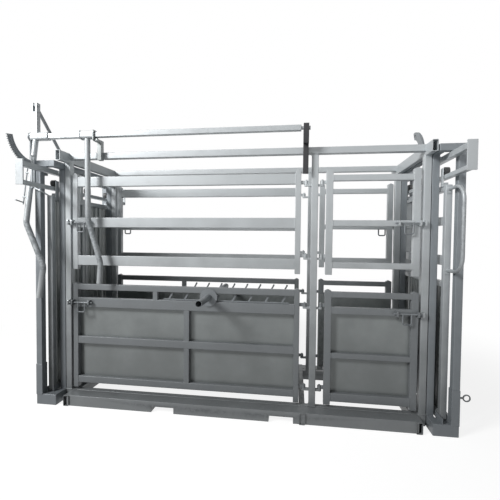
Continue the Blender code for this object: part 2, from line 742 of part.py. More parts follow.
def build_roller(name, top, side, y, leaf):
    centre = (y, track_heights(top)[1] + ROLLER + GAP)
    x0, x1 = TRACK_MID_X - ROLLER_WIDE / 2, TRACK_MID_X + ROLLER_WIDE / 2
    wheel = prism(circle(centre, ROLLER, 20, turned=0), "x", x0, x1)
    bore = prism(circle(centre, running_bore(AXLE)), "x", x0 - 0.01, x1 + 0.01)
    pivot = (side * TRACK_MID_X, centre[0], centre[1])
    made = body(name, at_end([wheel], side), STEEL_DARK, pivot=pivot, cuts=at_end([bore], side), metallic=0.3)
    attach(made, leaf)


# Head gate lever: a square torque bar turns on two supports, with a lever and a second side handle
BAR_Y = -(HALF - POST)
BAR_Z = 2.17
TORQUE_BAR = 0.040
BAR_PIN = 0.012
LEVER_X = 1.63
LEVER_LEAN = 9.0
LEVER_TUBE = 0.021
UPPER_ARM = 0.25
DRIVE_ARM = 0.381
OPEN_TURN = 48.0
LEAF_TRAVEL = 0.26
LINK_THICK = 0.016
LINK_WIDE = 0.024
LINK_LOW_Y = 0.023
LINK_LOW_Z = 1.92
LINK_PIN = 0.0075
LINK_LOW_PIN = 0.010
HUB_SIZE = 0.056
HUB_ENDS = (1.6645, 1.514)
DRIVE_PLATE_X = (1.598, 1.6041)


def lever_point(reach):
    """A point on the lever's lower tube, in y and z."""
    lean = radians(LEVER_LEAN)
    return BAR_Y - reach * sin(lean), BAR_Z - reach * cos(lean)


def head_drive(top, far):
    """What the lever works: a slotted plate on the near head leaf, and a post with a pin on the far one."""
    high = leaf_top(top)
    if far:
        plate_x = LEAF_OUT_X + 0.004
        y0, y1 = -LINK_LOW_Y - 0.02, -LINK_LOW_Y + 0.02
        return [
            block(LEAF_OUT_X - 0.015, plate_x + 0.006, y0, y1, high - 0.012, high + 0.02),
            block(plate_x, plate_x + 0.006, y0, y1, high - 0.012, LINK_LOW_Z + 0.018),
            prism(circle((-LINK_LOW_Y, LINK_LOW_Z), LINK_LOW_PIN), "x",
                  plate_x + 0.002, LEVER_X - LINK_THICK / 2 - GAP),
        ]
    y, low = lever_point(DRIVE_ARM)
    plate_y = -HALF - 0.019
    slot_low = low - 0.03
    slot_high = BAR_Z - DRIVE_ARM * cos(radians(LEVER_LEAN + OPEN_TURN)) + 0.03
    x0, x1 = DRIVE_PLATE_X
    outer = [(plate_y - 0.016, slot_low - 0.02), (plate_y + 0.016, slot_low - 0.02),
             (plate_y + 0.016, slot_high + 0.012), (plate_y - 0.016, slot_high + 0.012)]
    frame_parts = [
        prism(outer[:2] + [(plate_y + 0.016, slot_low), (plate_y - 0.016, slot_low)], "x", x0, x1),
        prism([(plate_y - 0.016, slot_high), (plate_y + 0.016, slot_high)] + outer[2:], "x", x0, x1),
        block(x0, x1, plate_y - 0.016, plate_y - 0.008, slot_low - 0.002, slot_high + 0.002),
        block(x0, x1, plate_y + 0.008, plate_y + 0.016, slot_low - 0.002, slot_high + 0.002),
    ]
    arm = rod(rounded([(x0 + 0.003, plate_y, slot_low - 0.012), (TRACK_MID_X + 0.006, plate_y, high + 0.022),
                       (TRACK_MID_X, -LEAF_OUTER_Y + 0.015, high - 0.012)], 0.02, 3), LOOP_WIRE, 8)
    return frame_parts + [arm]


for end, (top, side) in ENDS.items():
    build_track(end, top, side)
    leaves = [build_leaf(end, top, side, far) for far in (False, True)]
    if end == "rear":
        for leaf, far in zip(leaves, (False, True)):
            grip_y = -LEAF_OUTER_Y - 0.215
            stile_y = -LEAF_OUTER_Y - GAP
            foot = [block(TRACK_MID_X - 0.018, TRACK_MID_X + 0.018, stile_y - 0.005, stile_y,
                          z - 0.03, z + 0.03) for z in (1.153, 1.720)]
            path = [(TRACK_MID_X, stile_y - 0.001, 1.153), (TRACK_MID_X, grip_y, 1.153),
                    (TRACK_MID_X, grip_y, 1.720), (TRACK_MID_X, stile_y - 0.001, 1.720)]
            grip = rod(rounded(path, 0.10, 5), 0.0125, 10)
            pieces = [grip] + foot
            if far:
                pieces = [mirrored(piece, "y") for piece in pieces]
            made = body("rear_pull_far" if far else "rear_pull_near", pieces, ZINC_BRIGHT)
            attach(made, leaf)


# Torque bar: square, with a round pin at each end for its supports
BAR_END = 0.500
HEAD_PIN_END = -1.684
QUADRANT_X = (-1.679, -1.669)
UPRIGHT_X = (0.516, 0.556)
BAR_PIN_HEAD = 0.016
BAR_PIVOT = (-LEVER_X, BAR_Y, BAR_Z)


def square(half):
    return [(BAR_Y - half, BAR_Z - half), (BAR_Y + half, BAR_Z - half),
            (BAR_Y + half, BAR_Z + half), (BAR_Y - half, BAR_Z + half)]


def hub_circle(radius, turned=0.5):
    return circle((BAR_Y, BAR_Z), radius, 20, turned)


torque_bar = body("torque_bar", [
    prism(square(TORQUE_BAR / 2), "x", -1.595, BAR_END),
    prism(hub_circle(BAR_PIN, turned=0), "x", HEAD_PIN_END, -1.59),
    prism(hub_circle(BAR_PIN, turned=0), "x", BAR_END - 0.005, UPRIGHT_X[1] + 0.010),
    prism(circle((BAR_Y, BAR_Z), BAR_PIN_HEAD, 6), "x", UPRIGHT_X[1] + 0.002, UPRIGHT_X[1] + 0.010),
], pivot=BAR_PIVOT)


# Head gate lever: a sleeve on the torque bar, a clevis arm above it and a bent tube grip below
CLEVIS_SLOT = (-1.6405, -1.6195)
CLEVIS_FLOOR = 2.368
LINK_PIN_Z = BAR_Z + UPPER_ARM
CLEVIS_TOP = LINK_PIN_Z + 0.020
ROD_EYE_AT = (0.30, 0.50)
ROD_X = -1.674
ROD_RADIUS = 0.005


def tilted_plate(reach, long, wide, x0, x1):
    """A plate square to the lever's lower tube, at a distance from the hub."""
    lean = radians(LEVER_LEAN)
    along = (-sin(lean), -cos(lean))
    across = (cos(lean), -sin(lean))
    corners = []
    for a, c in ((reach - long / 2, -wide / 2), (reach + long / 2, -wide / 2),
                 (reach + long / 2, wide / 2), (reach - long / 2, wide / 2)):
        corners.append((BAR_Y + along[0] * a + across[0] * c, BAR_Z + along[1] * a + across[1] * c))
    return prism(corners, "x", x0, x1)


def lever_rod_bore(reach):
    lean = radians(LEVER_LEAN)
    ends = [(ROD_X, *lever_point(reach - 0.03)), (ROD_X, *lever_point(reach + 0.03))]
    return rod(ends, ROD_RADIUS + GAP, 10)


kink = lever_point(0.71)
lever_path = rounded([
    (-LEVER_X, *lever_point(0.02)), (-LEVER_X, *kink), (-1.475, BAR_Y - 0.122, 1.13),
    (-1.510, BAR_Y - 0.125, 0.885),
], 0.06, 4)
drive_y, drive_z = lever_point(DRIVE_ARM)
lever_pieces = [
    prism(square(HUB_SIZE / 2), "x", -HUB_ENDS[0], -HUB_ENDS[1]),
    block(-1.655, -1.605, BAR_Y - 0.020, BAR_Y + 0.020, BAR_Z + HUB_SIZE / 2 - WELD, CLEVIS_TOP),
    rod(lever_path, LEVER_TUBE, 12),
    prism(circle((BAR_Y, LINK_PIN_Z), LINK_PIN, turned=0), "x", -1.660, -1.600),
    prism(circle((BAR_Y, LINK_PIN_Z), 0.013, 6), "x", -1.662, -1.654),
    prism(circle((BAR_Y, LINK_PIN_Z), 0.013, 6), "x", -1.606, -1.598),
    prism(circle((drive_y, drive_z), 0.010), "x", -1.612, -DRIVE_PLATE_X[1] - GAP),
]
lever_cuts = [
    prism(square(TORQUE_BAR / 2 + GAP), "x", -1.5955, -1.40),
    prism(hub_circle(BAR_PIN + GAP, turned=0), "x", -1.70, -1.59),
    block(CLEVIS_SLOT[0], CLEVIS_SLOT[1], BAR_Y - 0.05, BAR_Y + 0.05, CLEVIS_FLOOR, CLEVIS_TOP + 0.02),
]
for reach in ROD_EYE_AT:
    lever_pieces.append(tilted_plate(reach, 0.012, 0.024, -1.6805, -LEVER_X - 0.012))
    lever_cuts.append(lever_rod_bore(reach))
head_lever = body("head_lever", lever_pieces, pivot=BAR_PIVOT, cuts=lever_cuts)
attach(torque_bar, head_lever)

# Long link: a flat bar from the top of the lever to the far head leaf
link_x = (-LEVER_X - LINK_THICK / 2, -LEVER_X + LINK_THICK / 2)
link_top = Vector((BAR_Y, LINK_PIN_Z))
link_low = Vector((LINK_LOW_Y, LINK_LOW_Z))
link_along = (link_low - link_top).normalized()
link_across = Vector((-link_along.y, link_along.x)) * (LINK_WIDE / 2)
link_outline = [tuple(p) for p in (link_top + link_across, link_low + link_across,
                                   link_low - link_across, link_top - link_across)]
far_link = body("far_link", [
    prism(link_outline, "x", *link_x),
    prism(circle(tuple(link_top), 0.015), "x", *link_x),
    prism(circle(tuple(link_low), 0.018), "x", *link_x),
], ZINC_DULL, pivot=(-LEVER_X, *link_top), cuts=[
    prism(circle(tuple(link_top), running_bore(LINK_PIN)), "x", link_x[0] - 0.01, link_x[1] + 0.01),
    prism(circle(tuple(link_low), running_bore(LINK_LOW_PIN)), "x", link_x[0] - 0.01, link_x[1] + 0.01),
])
attach(far_link, head_lever)

# Side handle: a second sleeve along the torque bar, with flanges and a bent tube grip
SIDE_SLEEVE = (-1.234, -1.119)
FLANGE = 0.033
FLANGE_THICK = 0.006
HANDLE_X = -1.180
handle_path = rounded([
    (HANDLE_X, BAR_Y, BAR_Z - 0.02), (HANDLE_X, BAR_Y, 1.500),
    (-1.070, BAR_Y - 0.004, 1.155), (-1.082, BAR_Y - 0.004, LOWER_HIGH + 0.008),
], 0.10, 4)
side_handle = body("side_handle", [
    prism(square(HUB_SIZE / 2), "x", *SIDE_SLEEVE),
    prism(square(FLANGE), "x", SIDE_SLEEVE[0], SIDE_SLEEVE[0] + FLANGE_THICK),
    prism(square(FLANGE), "x", SIDE_SLEEVE[1] - FLANGE_THICK, SIDE_SLEEVE[1]),
    rod(handle_path, LEVER_TUBE, 12),
], pivot=BAR_PIVOT, cuts=[
    prism(square(TORQUE_BAR / 2 + GAP), "x", SIDE_SLEEVE[0] - 0.01, SIDE_SLEEVE[1] + 0.01),
])
attach(side_handle, head_lever)

# Ratchet: a toothed quadrant held on the outer post, and a spring rod that drops between its teeth
QUADRANT_FOOT_TOP = HEAD_TOP - 0.02
QUADRANT_FOOT_LOW = QUADRANT_FOOT_TOP - 0.09
ARC_IN = 0.190
ARC_ROOT = 0.236
ARC_TIP = 0.245
ARC_START = 190
ARC_END = 276
TOOTH_STEP = 4
TOOTH_STEPS = 18


def toothed_arc():
    """The quadrant's toothed band, with square notches between its teeth."""
    outer = []
    for i in range(TOOTH_STEPS):
        start = ARC_START + i * TOOTH_STEP
        for angle, radius in ((0, ARC_TIP), (1.5, ARC_TIP), (1.7, ARC_ROOT), (3.8, ARC_ROOT)):
            outer += arc((BAR_Y, BAR_Z), radius, start + angle, start + angle, 1)[:1]
    end = ARC_START + TOOTH_STEPS * TOOTH_STEP
    outer += arc((BAR_Y, BAR_Z), ARC_TIP, end, ARC_END, 3)
    return outer + arc((BAR_Y, BAR_Z), ARC_IN, ARC_END, ARC_START, 14)


body("quadrant", [
    prism(toothed_arc(), "x", *QUADRANT_X),
    prism(hub_circle(0.035), "x", *QUADRANT_X),
    block(*QUADRANT_X, BAR_Y - 0.015, BAR_Y + 0.025, QUADRANT_FOOT_LOW, BAR_Z),
    block(QUADRANT_X[0], -END_X + POST, -HALF + POST + GAP, -HALF + POST + 0.035,
          QUADRANT_FOOT_LOW, QUADRANT_FOOT_TOP),
], ZINC_DULL, cuts=[
    prism(hub_circle(running_bore(BAR_PIN, 20)), "x", QUADRANT_X[0] - 0.01, QUADRANT_X[1] + 0.01),
])

rod_low = lever_point(0.560)
rod_tip = lever_point(ARC_TIP + 0.0008)
peg_height = lever_point(0.545)
ratchet_rod = body("ratchet_rod", [
    rod([(ROD_X, *rod_tip), (ROD_X, *rod_low)], ROD_RADIUS, 10),
    rod([(ROD_X, *peg_height), (ROD_X, peg_height[0] - 0.080, peg_height[1] + 0.0125)], ROD_RADIUS, 10),
], STEEL_DARK, pivot=(ROD_X, *rod_tip), metallic=0.4)
attach(ratchet_rod, head_lever)

# Supports of the torque bar: a saddle post beside the side handle and the dark upright at its far end
SADDLE_X = SIDE_SLEEVE[1] + 0.0025
SADDLE_WIDE = 0.034
SADDLE_HOLE = 0.029
SADDLE_TOP = BAR_Z - TORQUE_BAR / 2 - 0.013
body("side_upright", [
    block(SADDLE_X, SADDLE_X + SADDLE_WIDE, -SIDE_OUT - 0.040, -SIDE_OUT - GAP, RAIL_TOP - 0.070, SADDLE_TOP),
    block(SADDLE_X, SADDLE_X + SADDLE_WIDE, BAR_Y - 0.020, -SIDE_OUT - 0.036, SADDLE_TOP - 0.020, SADDLE_TOP),
    block(SADDLE_X, SADDLE_X + 0.006, BAR_Y - 0.034, BAR_Y + 0.034, SADDLE_TOP - 0.020, BAR_Z + 0.034),
], SHEET_GREY, cuts=[prism(hub_circle(SADDLE_HOLE + 0.0005), "x", SADDLE_X - 0.02, SADDLE_X + 0.02)])
body("rear_upright", [
    block(UPRIGHT_X[0], UPRIGHT_X[1], -SIDE_OUT - 0.040, -SIDE_OUT - GAP, 1.850, BAR_Z + 0.030),
    block(UPRIGHT_X[0], UPRIGHT_X[1], BAR_Y - 0.025, -SIDE_OUT - 0.036, BAR_Z - 0.110, BAR_Z + 0.030),
], STEEL_DARK, cuts=[
    prism(hub_circle(running_bore(BAR_PIN, 20)), "x", UPRIGHT_X[0] - 0.01, UPRIGHT_X[1] + 0.01),
], metallic=0.3)

# Lifting lug: a curved horn with an eye, standing on the rear cross beam
HORN_Y = (-SIDE_IN, -SIDE_IN + 0.250)
horn = [(HORN_Y[0], 0.0), (HORN_Y[0] + 0.110, 0.0)] + arc((HORN_Y[1] + 0.010, -0.020), 0.130, 168, 100, 6)
horn += [(HORN_Y[1] + 0.010, 0.165)] + arc((HORN_Y[1] + 0.020, -0.065), 0.235, 98, 158, 7)
lug_z = RAIL_TOP + GAP
horn_eye = (HORN_Y[1] - 0.024, 0.135)
body("lifting_lug", [
    prism([(y, z + lug_z) for y, z in horn], "x", BODY_END - 0.032, BODY_END - 0.018),
    block(BODY_END - 0.043, BODY_END - 0.007, HORN_Y[0] - 0.020, HORN_Y[0] + 0.130, lug_z, lug_z + 0.006),
], ZINC_DULL, cuts=[prism(circle((horn_eye[0], horn_eye[1] + lug_z), 0.013), "x", BODY_END - 0.05, BODY_END)])

# Pull pins: through the rear outer posts, in front of the closed leaves' guides
PIN_INNER_X = END_X - POST + 0.006
PIN_RING = 0.022
PIN_WIRE = 0.005
PIN_RING_END = 1.684
for side_name, sign in (("near", 1), ("far", -1)):
    ring_centre = PIN_RING_END - PIN_RING - PIN_WIRE * cos(radians(22.5))
    ring = [(ring_centre + PIN_RING * cos(radians(a)), PULL_PIN_Y, PULL_PIN_Z + PIN_RING * sin(radians(a)))
            for a in range(180, 511, 30)]
    pieces = [
        prism(circle((PULL_PIN_Y, PULL_PIN_Z), PULL_PIN), "x", PIN_INNER_X, ring_centre - PIN_RING + 0.003),
        prism(circle((PULL_PIN_Y, PULL_PIN_Z), 0.014), "x", END_X + GAP, END_X + 0.006),
        rod(ring, PIN_WIRE, 8),
    ]
    if sign < 0:
        pieces = [mirrored(piece, "y") for piece in pieces]
    body(f"pull_pin_{side_name}", pieces, ZINC_BRIGHT, pivot=(END_X, sign * PULL_PIN_Y, PULL_PIN_Z))
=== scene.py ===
"""Cattle crush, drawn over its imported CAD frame.

Box section steel, sheeted gates with slide bolts, sliding doors at both ends and the head gate's lever gear.
Metres, +Z up. X runs along the crush with the head gate at minus X, and minus Y is the operator's side.
"""

from math import cos, pi, radians, sin

import bmesh
import bpy
from mathutils import Matrix, Vector


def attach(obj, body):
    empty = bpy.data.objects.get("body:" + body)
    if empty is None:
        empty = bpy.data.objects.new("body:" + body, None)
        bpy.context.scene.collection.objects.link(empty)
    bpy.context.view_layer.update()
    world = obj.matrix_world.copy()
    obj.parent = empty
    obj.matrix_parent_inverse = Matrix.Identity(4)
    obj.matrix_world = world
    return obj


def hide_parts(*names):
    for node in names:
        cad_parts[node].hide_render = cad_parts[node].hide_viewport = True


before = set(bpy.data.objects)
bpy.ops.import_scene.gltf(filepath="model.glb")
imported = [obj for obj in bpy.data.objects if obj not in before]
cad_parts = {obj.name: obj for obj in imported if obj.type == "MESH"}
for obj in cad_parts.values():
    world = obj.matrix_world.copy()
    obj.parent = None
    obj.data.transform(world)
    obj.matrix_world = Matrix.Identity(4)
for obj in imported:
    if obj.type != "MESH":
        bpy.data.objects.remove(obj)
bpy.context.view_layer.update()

# The base and body frame
# Hot dip galvanised box section, welded into one crate: sills and base rails with fork notches, three cross
# tubes with open ends, four posts, two top rails and two cross beams whose open ends stand past the rails.
SIDES = {"near": -1, "far": 1}
SIDE_IN = 0.33
SIDE_OUT = 0.38
BODY_END = 1.429
MIDDLE_X = 0.583
POST = 0.05
POST_TOP = 1.972
HALF = 0.5
BASE_HIGH = 0.085
BASE_RAIL_OUT = 0.49
BASE_RAIL_IN = 0.39
TOP = 2.05
TOP_RAIL_END = 1.386
BEAM_AT = (-1.424, 1.384)
BEAM_WIDE = 0.04
BEAM_HIGH = 0.08
CROSS_AT = (-1.371, 0.511, 1.326)
CROSS_WIDE = 0.045
FORK_AT = (-0.541, 0.377)
FORK_HALF = 0.09
FORK_HIGH = 0.045
TUBE_WALL = 0.0035
TUBE_CORNER = 0.006
BOX_EDGE = 0.004

# A welded length runs WELD_IN into its neighbour, and pieces that only meet keep GAP between them.
# Where two plates of one piece would share a face, one of them stands PROUD of the other.
WELD_IN = 0.004
GAP = 0.0003
PROUD = 0.0005

# Edges that turn by more than this many radians are softened
SHARP_TURN = 0.6


def mirrored(sign, a, b):
    """A span written for the far side or the rear end, on the half that the sign gives."""
    return sorted((sign * a, sign * b))


def box_outline(a0, a1, b0, b1):
    return [(a0, b0), (a1, b0), (a1, b1), (a0, b1)]


def arc(centre, radius, degrees):
    """Points round a centre at the given angles."""
    a, b = centre
    return [(a + radius * cos(radians(angle)), b + radius * sin(radians(angle))) for angle in degrees]


def round_box(a0, a1, b0, b1, radius):
    """A box section's outline with rounded corners."""
    corners = (
        (a1 - radius, b1 - radius, 0), (a0 + radius, b1 - radius, 90),
        (a0 + radius, b0 + radius, 180), (a1 - radius, b0 + radius, 270),
    )
    points = []
    for a, b, start in corners:
        points += arc((a, b), radius, range(start, start + 91, 30))
    return points


def round_outline(centre, radius, sides=24):
    """A circle made of straight sides, with a flat towards each axis."""
    return arc(centre, radius, [360 * (i + 0.5) / sides for i in range(sides)])


def around(centre, low_a, high_a, low_b, high_b, sides=24):
    """A rectangle's outline with a point on each ray from a hole's centre."""
    points = []
    for i in range(sides):
        angle = 2 * pi * (i + 0.5) / sides
        a, b = cos(angle), sin(angle)
        reach_a = ((high_a if a > 0 else low_a) - centre[0]) / a if abs(a) > 1e-9 else 9
        reach_b = ((high_b if b > 0 else low_b) - centre[1]) / b if abs(b) > 1e-9 else 9
        reach = min(reach_a, reach_b)
        points.append((centre[0] + a * reach, centre[1] + b * reach))
    return points


def solid(into, outline, along, low, high, hole=None, edge=0.0025):
    """Adds an outline pushed along an axis, with softened edges, or with a hole of as many points."""
    slot = "xyz".index(along)
    part = bmesh.new()
    rings = []
    for points in (outline, hole) if hole else (outline,):
        for level in (low, high):
            ring = []
            for pair in points:
                place = list(pair)
                place.insert(slot, level)
                ring.append(part.verts.new(place))
            rings.append(ring)
    count = len(outline)
    for i in range(count):
        j = (i + 1) % count
        part.faces.new((rings[0][i], rings[0][j], rings[1][j], rings[1][i]))
        if hole:
            part.faces.new((rings[2][i], rings[2][j], rings[3][j], rings[3][i]))
            part.faces.new((rings[0][i], rings[0][j], rings[2][j], rings[2][i]))
            part.faces.new((rings[1][i], rings[1][j], rings[3][j], rings[3][i]))
    if not hole:
        part.faces.new(rings[0])
        part.faces.new(rings[1])
    bmesh.ops.recalc_face_normals(part, faces=part.faces)
    if edge:
        sharp = [e for e in part.edges if e.calc_face_angle(0) > SHARP_TURN]
        bmesh.ops.bevel(part, geom=sharp, offset=edge, segments=2, profile=0.5, affect="EDGES",
                        clamp_overlap=True)
    data = bpy.data.meshes.new("part")
    part.to_mesh(data)
    part.free()
    into.from_mesh(data)
    bpy.data.meshes.remove(data)


def bar(into, x0, x1, y0, y1, z0, z1, edge=BOX_EDGE):
    """A closed length of box section, or a plate."""
    solid(into, box_outline(x0, x1, y0, y1), "z", z0, z1, edge=edge)


def side_bar(into, sign, x0, x1, y_out, y_in, z0, z1, edge=BOX_EDGE):
    """The same, with its y written for the far side."""
    bar(into, x0, x1, *mirrored(sign, y_out, y_in), z0, z1, edge)


def open_bar(into, x0, x1, y0, y1, z0, z1):
    """A length of box section across the crush, open at both ends."""
    outer = round_box(x0, x1, z0, z1, TUBE_CORNER)
    inner = round_box(x0 + TUBE_WALL, x1 - TUBE_WALL, z0 + TUBE_WALL, z1 - TUBE_WALL, TUBE_CORNER / 2)
    solid(into, outer, "y", y0, y1, hole=inner, edge=0)


def foot_weld(into, x0, x1, y0, y1, z, leg=0.004):
    """A fillet weld round the foot of a post, or round its head where leg is negative."""
    low, high = sorted((z - leg / 4, z + leg))
    reach = abs(leg)
    solid(into, box_outline(x0 - reach, x1 + reach, y0 - reach, y1 + reach), "z", low, high, edge=reach * 0.9)


def end_weld(into, x, y, z0, z1, leg=0.0035):
    """An upright bead where a rail's end meets a stile."""
    solid(into, round_outline((x, y), leg, 10), "z", z0 + 0.002, z1 - 0.002, edge=0)


def node_of(tree, kind, inputs=None, **settings):
    """A node with its settings and the values on its own sockets."""
    made = tree.nodes.new(kind)
    for name, value in settings.items():
        setattr(made, name, value)
    for socket, value in (inputs or {}).items():
        made.inputs[socket].default_value = value
    return made


def shader_group(name, inputs, outputs):
    """An empty shader group with named sockets, and its ends."""
    tree = bpy.data.node_groups.new(name, "ShaderNodeTree")
    for label, kind, value in inputs:
        socket = tree.interface.new_socket(label, in_out="INPUT", socket_type=kind)
        if value is not None:
            socket.default_value = value
    for label, kind in outputs:
        tree.interface.new_socket(label, in_out="OUTPUT", socket_type=kind)
    return tree, tree.nodes.new("NodeGroupInput"), tree.nodes.new("NodeGroupOutput")


def spangle_group():
    """Zinc crystals: flat cells of slightly different tone with a soft mottle over them."""
    tree, start, end = shader_group(
        "Zinc Spangle",
        (("Vector", "NodeSocketVector", None), ("Cell Scale", "NodeSocketFloat", 70.0)),
        (("Tone", "NodeSocketFloat"), ("Height", "NodeSocketFloat")),
    )
    link = tree.links.new
    cells = node_of(tree, "ShaderNodeTexVoronoi", feature="F1")
    mottle = node_of(tree, "ShaderNodeTexNoise", {"Scale": 7.0, "Detail": 7.0, "Roughness": 0.62})
    grey = node_of(tree, "ShaderNodeRGBToBW")
    mix = node_of(tree, "ShaderNodeMix", {"Factor": 0.72}, data_type="FLOAT")
    spread = node_of(tree, "ShaderNodeMapRange", {"From Min": 0.40, "From Max": 0.58})
    link(start.outputs["Vector"], cells.inputs["Vector"])
    link(start.outputs["Cell Scale"], cells.inputs["Scale"])
    link(start.outputs["Vector"], mottle.inputs["Vector"])
    link(cells.outputs["Color"], grey.inputs["Color"])
    link(grey.outputs["Val"], mix.inputs["A"])
    link(mottle.outputs["Fac"], mix.inputs["B"])
    link(mix.outputs["Result"], spread.inputs["Value"])
    link(spread.outputs["Result"], end.inputs["Tone"])
    link(mottle.outputs["Fac"], end.inputs["Height"])
    return tree


def ground_shade_group():
    """Painted shade: darker towards the ground and gone at head height, with an uneven edge."""
    tree, start, end = shader_group(
        "Ground Shade",
        (("Vector", "NodeSocketVector", None),
         ("Low", "NodeSocketFloat", 0.45),
         ("High", "NodeSocketFloat", 2.3)),
        (("Lit", "NodeSocketFloat"),),
    )
    link = tree.links.new
    place = node_of(tree, "ShaderNodeSeparateXYZ")
    patches = node_of(tree, "ShaderNodeTexNoise", {"Scale": 5.0, "Detail": 6.0})
    shift = node_of(tree, "ShaderNodeMath", {1: 0.9}, operation="MULTIPLY_ADD")
    level = node_of(tree, "ShaderNodeMapRange", interpolation_type="SMOOTHSTEP")
    link(start.outputs["Vector"], place.inputs["Vector"])
    link(start.outputs["Vector"], patches.inputs["Vector"])
    link(patches.outputs["Fac"], shift.inputs[0])
    link(place.outputs["Z"], shift.inputs[2])
    link(shift.outputs["Value"], level.inputs["Value"])
    link(start.outputs["Low"], level.inputs["From Min"])
    link(start.outputs["High"], level.inputs["From Max"])
    link(level.outputs["Result"], end.inputs["Lit"])
    return tree


def drip_group():
    """Runs of zinc and rain: long soft streaks down the piece."""
    tree, start, end = shader_group(
        "Zinc Drips",
        (("Vector", "NodeSocketVector", None), ("Fineness", "NodeSocketFloat", 30.0)),
        (("Streak", "NodeSocketFloat"),),
    )
    link = tree.links.new
    stretch = node_of(tree, "ShaderNodeMapping", {"Scale": (1.0, 1.0, 0.045)})
    streak = node_of(tree, "ShaderNodeTexNoise", {"Detail": 4.0})
    level = node_of(tree, "ShaderNodeMapRange", {"From Min": 0.35, "From Max": 0.70})
    link(start.outputs["Vector"], stretch.inputs["Vector"])
    link(stretch.outputs["Vector"], streak.inputs["Vector"])
    link(start.outputs["Fineness"], streak.inputs["Scale"])
    link(streak.outputs["Fac"], level.inputs["Value"])
    link(level.outputs["Result"], end.inputs["Streak"])
    return tree


def wear_and_corner_shade_group():
    """Bright rubbed edges, and painted shade in the inner corners, from the mesh's own curvature."""
    tree, start, end = shader_group(
        "Edge Wear And Corner Shade",
        (("Amount", "NodeSocketFloat", 1.0),),
        (("Edge", "NodeSocketFloat"), ("Corner Shade", "NodeSocketFloat")),
    )
    link = tree.links.new
    shape = node_of(tree, "ShaderNodeNewGeometry")
    for label, low, high in (("Edge", 0.51, 0.56), ("Corner Shade", 0.49, 0.43)):
        level = node_of(tree, "ShaderNodeMapRange", {"From Min": low, "From Max": high})
        scale = node_of(tree, "ShaderNodeMath", operation="MULTIPLY")
        link(shape.outputs["Pointiness"], level.inputs["Value"])
        link(level.outputs["Result"], scale.inputs[0])
        link(start.outputs["Amount"], scale.inputs[1])
        link(scale.outputs["Value"], end.inputs[label])
    return tree


spangle = spangle_group()
drips = drip_group()
edge_wear_and_shade = wear_and_corner_shade_group()
ground_shade_tree = ground_shade_group()


def zinc(name, dark, light, rough=(0.34, 0.52), metallic=0.25, cells=70.0, streaks=0.60, bump=0.05,
         ground_shade_min=0.34):
    """Galvanised steel: spangle tone, streaks, edge wear, painted shade in the inner corners and towards the
    ground, and a faint orange peel surface.
    """
    material = bpy.data.materials.new(name)
    material.use_nodes = True
    tree = material.node_tree
    link = tree.links.new
    shader = tree.nodes["Principled BSDF"]
    shader.inputs["Metallic"].default_value = metallic
    place = node_of(tree, "ShaderNodeTexCoord")
    crystals, runs, rubs_and_shade, ground_shade_node = (
        node_of(tree, "ShaderNodeGroup", node_tree=group) for group in (spangle, drips, edge_wear_and_shade, ground_shade_tree))
    for group in (crystals, runs, ground_shade_node):
        link(place.outputs["Object"], group.inputs["Vector"])
    crystals.inputs["Cell Scale"].default_value = cells
    tone = node_of(tree, "ShaderNodeMix", {"A": (*dark, 1), "B": (*light, 1)}, data_type="RGBA")
    streak_share = node_of(tree, "ShaderNodeMath", {1: streaks}, operation="MULTIPLY")
    streaked = node_of(tree, "ShaderNodeMix", {"B": (0.48, 0.51, 0.54, 1)}, data_type="RGBA",
                       blend_type="MULTIPLY")
    bright_edge = tuple(min(1.0, c * 1.18) for c in light)
    rubbed = node_of(tree, "ShaderNodeMix", {"B": (*bright_edge, 1)}, data_type="RGBA")
    # Painted shade: inner corners are darkened
    corner_shade = node_of(tree, "ShaderNodeMix", {"B": (0.45, 0.45, 0.44, 1)}, data_type="RGBA",
                     blend_type="MULTIPLY")
    # Painted shade towards the ground: the colour is scaled down towards the foot of each piece
    lit_share = node_of(tree, "ShaderNodeMapRange", {"To Min": ground_shade_min})
    ground_shaded = node_of(tree, "ShaderNodeVectorMath", operation="SCALE")
    rough_level = node_of(tree, "ShaderNodeMapRange", {"To Min": rough[0], "To Max": rough[1]})
    raised = node_of(tree, "ShaderNodeBump", {"Strength": bump, "Distance": 0.004})
    link(crystals.outputs["Tone"], tone.inputs["Factor"])
    link(runs.outputs["Streak"], streak_share.inputs[0])
    link(streak_share.outputs["Value"], streaked.inputs["Factor"])
    link(tone.outputs["Result"], streaked.inputs["A"])
    link(rubs_and_shade.outputs["Edge"], rubbed.inputs["Factor"])
    link(streaked.outputs["Result"], rubbed.inputs["A"])
    link(rubs_and_shade.outputs["Corner Shade"], corner_shade.inputs["Factor"])
    link(rubbed.outputs["Result"], corner_shade.inputs["A"])
    link(ground_shade_node.outputs["Lit"], lit_share.inputs["Value"])
    link(corner_shade.outputs["Result"], ground_shaded.inputs[0])
    link(lit_share.outputs["Result"], ground_shaded.inputs["Scale"])
    link(ground_shaded.outputs["Vector"], shader.inputs["Base Color"])
    link(crystals.outputs["Tone"], rough_level.inputs["Value"])
    link(rough_level.outputs["Result"], shader.inputs["Roughness"])
    link(crystals.outputs["Height"], raised.inputs["Height"])
    link(raised.outputs["Normal"], shader.inputs["Normal"])
    return material


bright_zinc = zinc("bright zinc", (0.15, 0.175, 0.19), (0.52, 0.55, 0.565))
# Painted shade: a darker copy of the bright zinc, for the end modules that stand in shade
shaded_end_zinc = zinc("shaded end zinc", (0.07, 0.082, 0.095), (0.26, 0.285, 0.305), ground_shade_min=0.6)


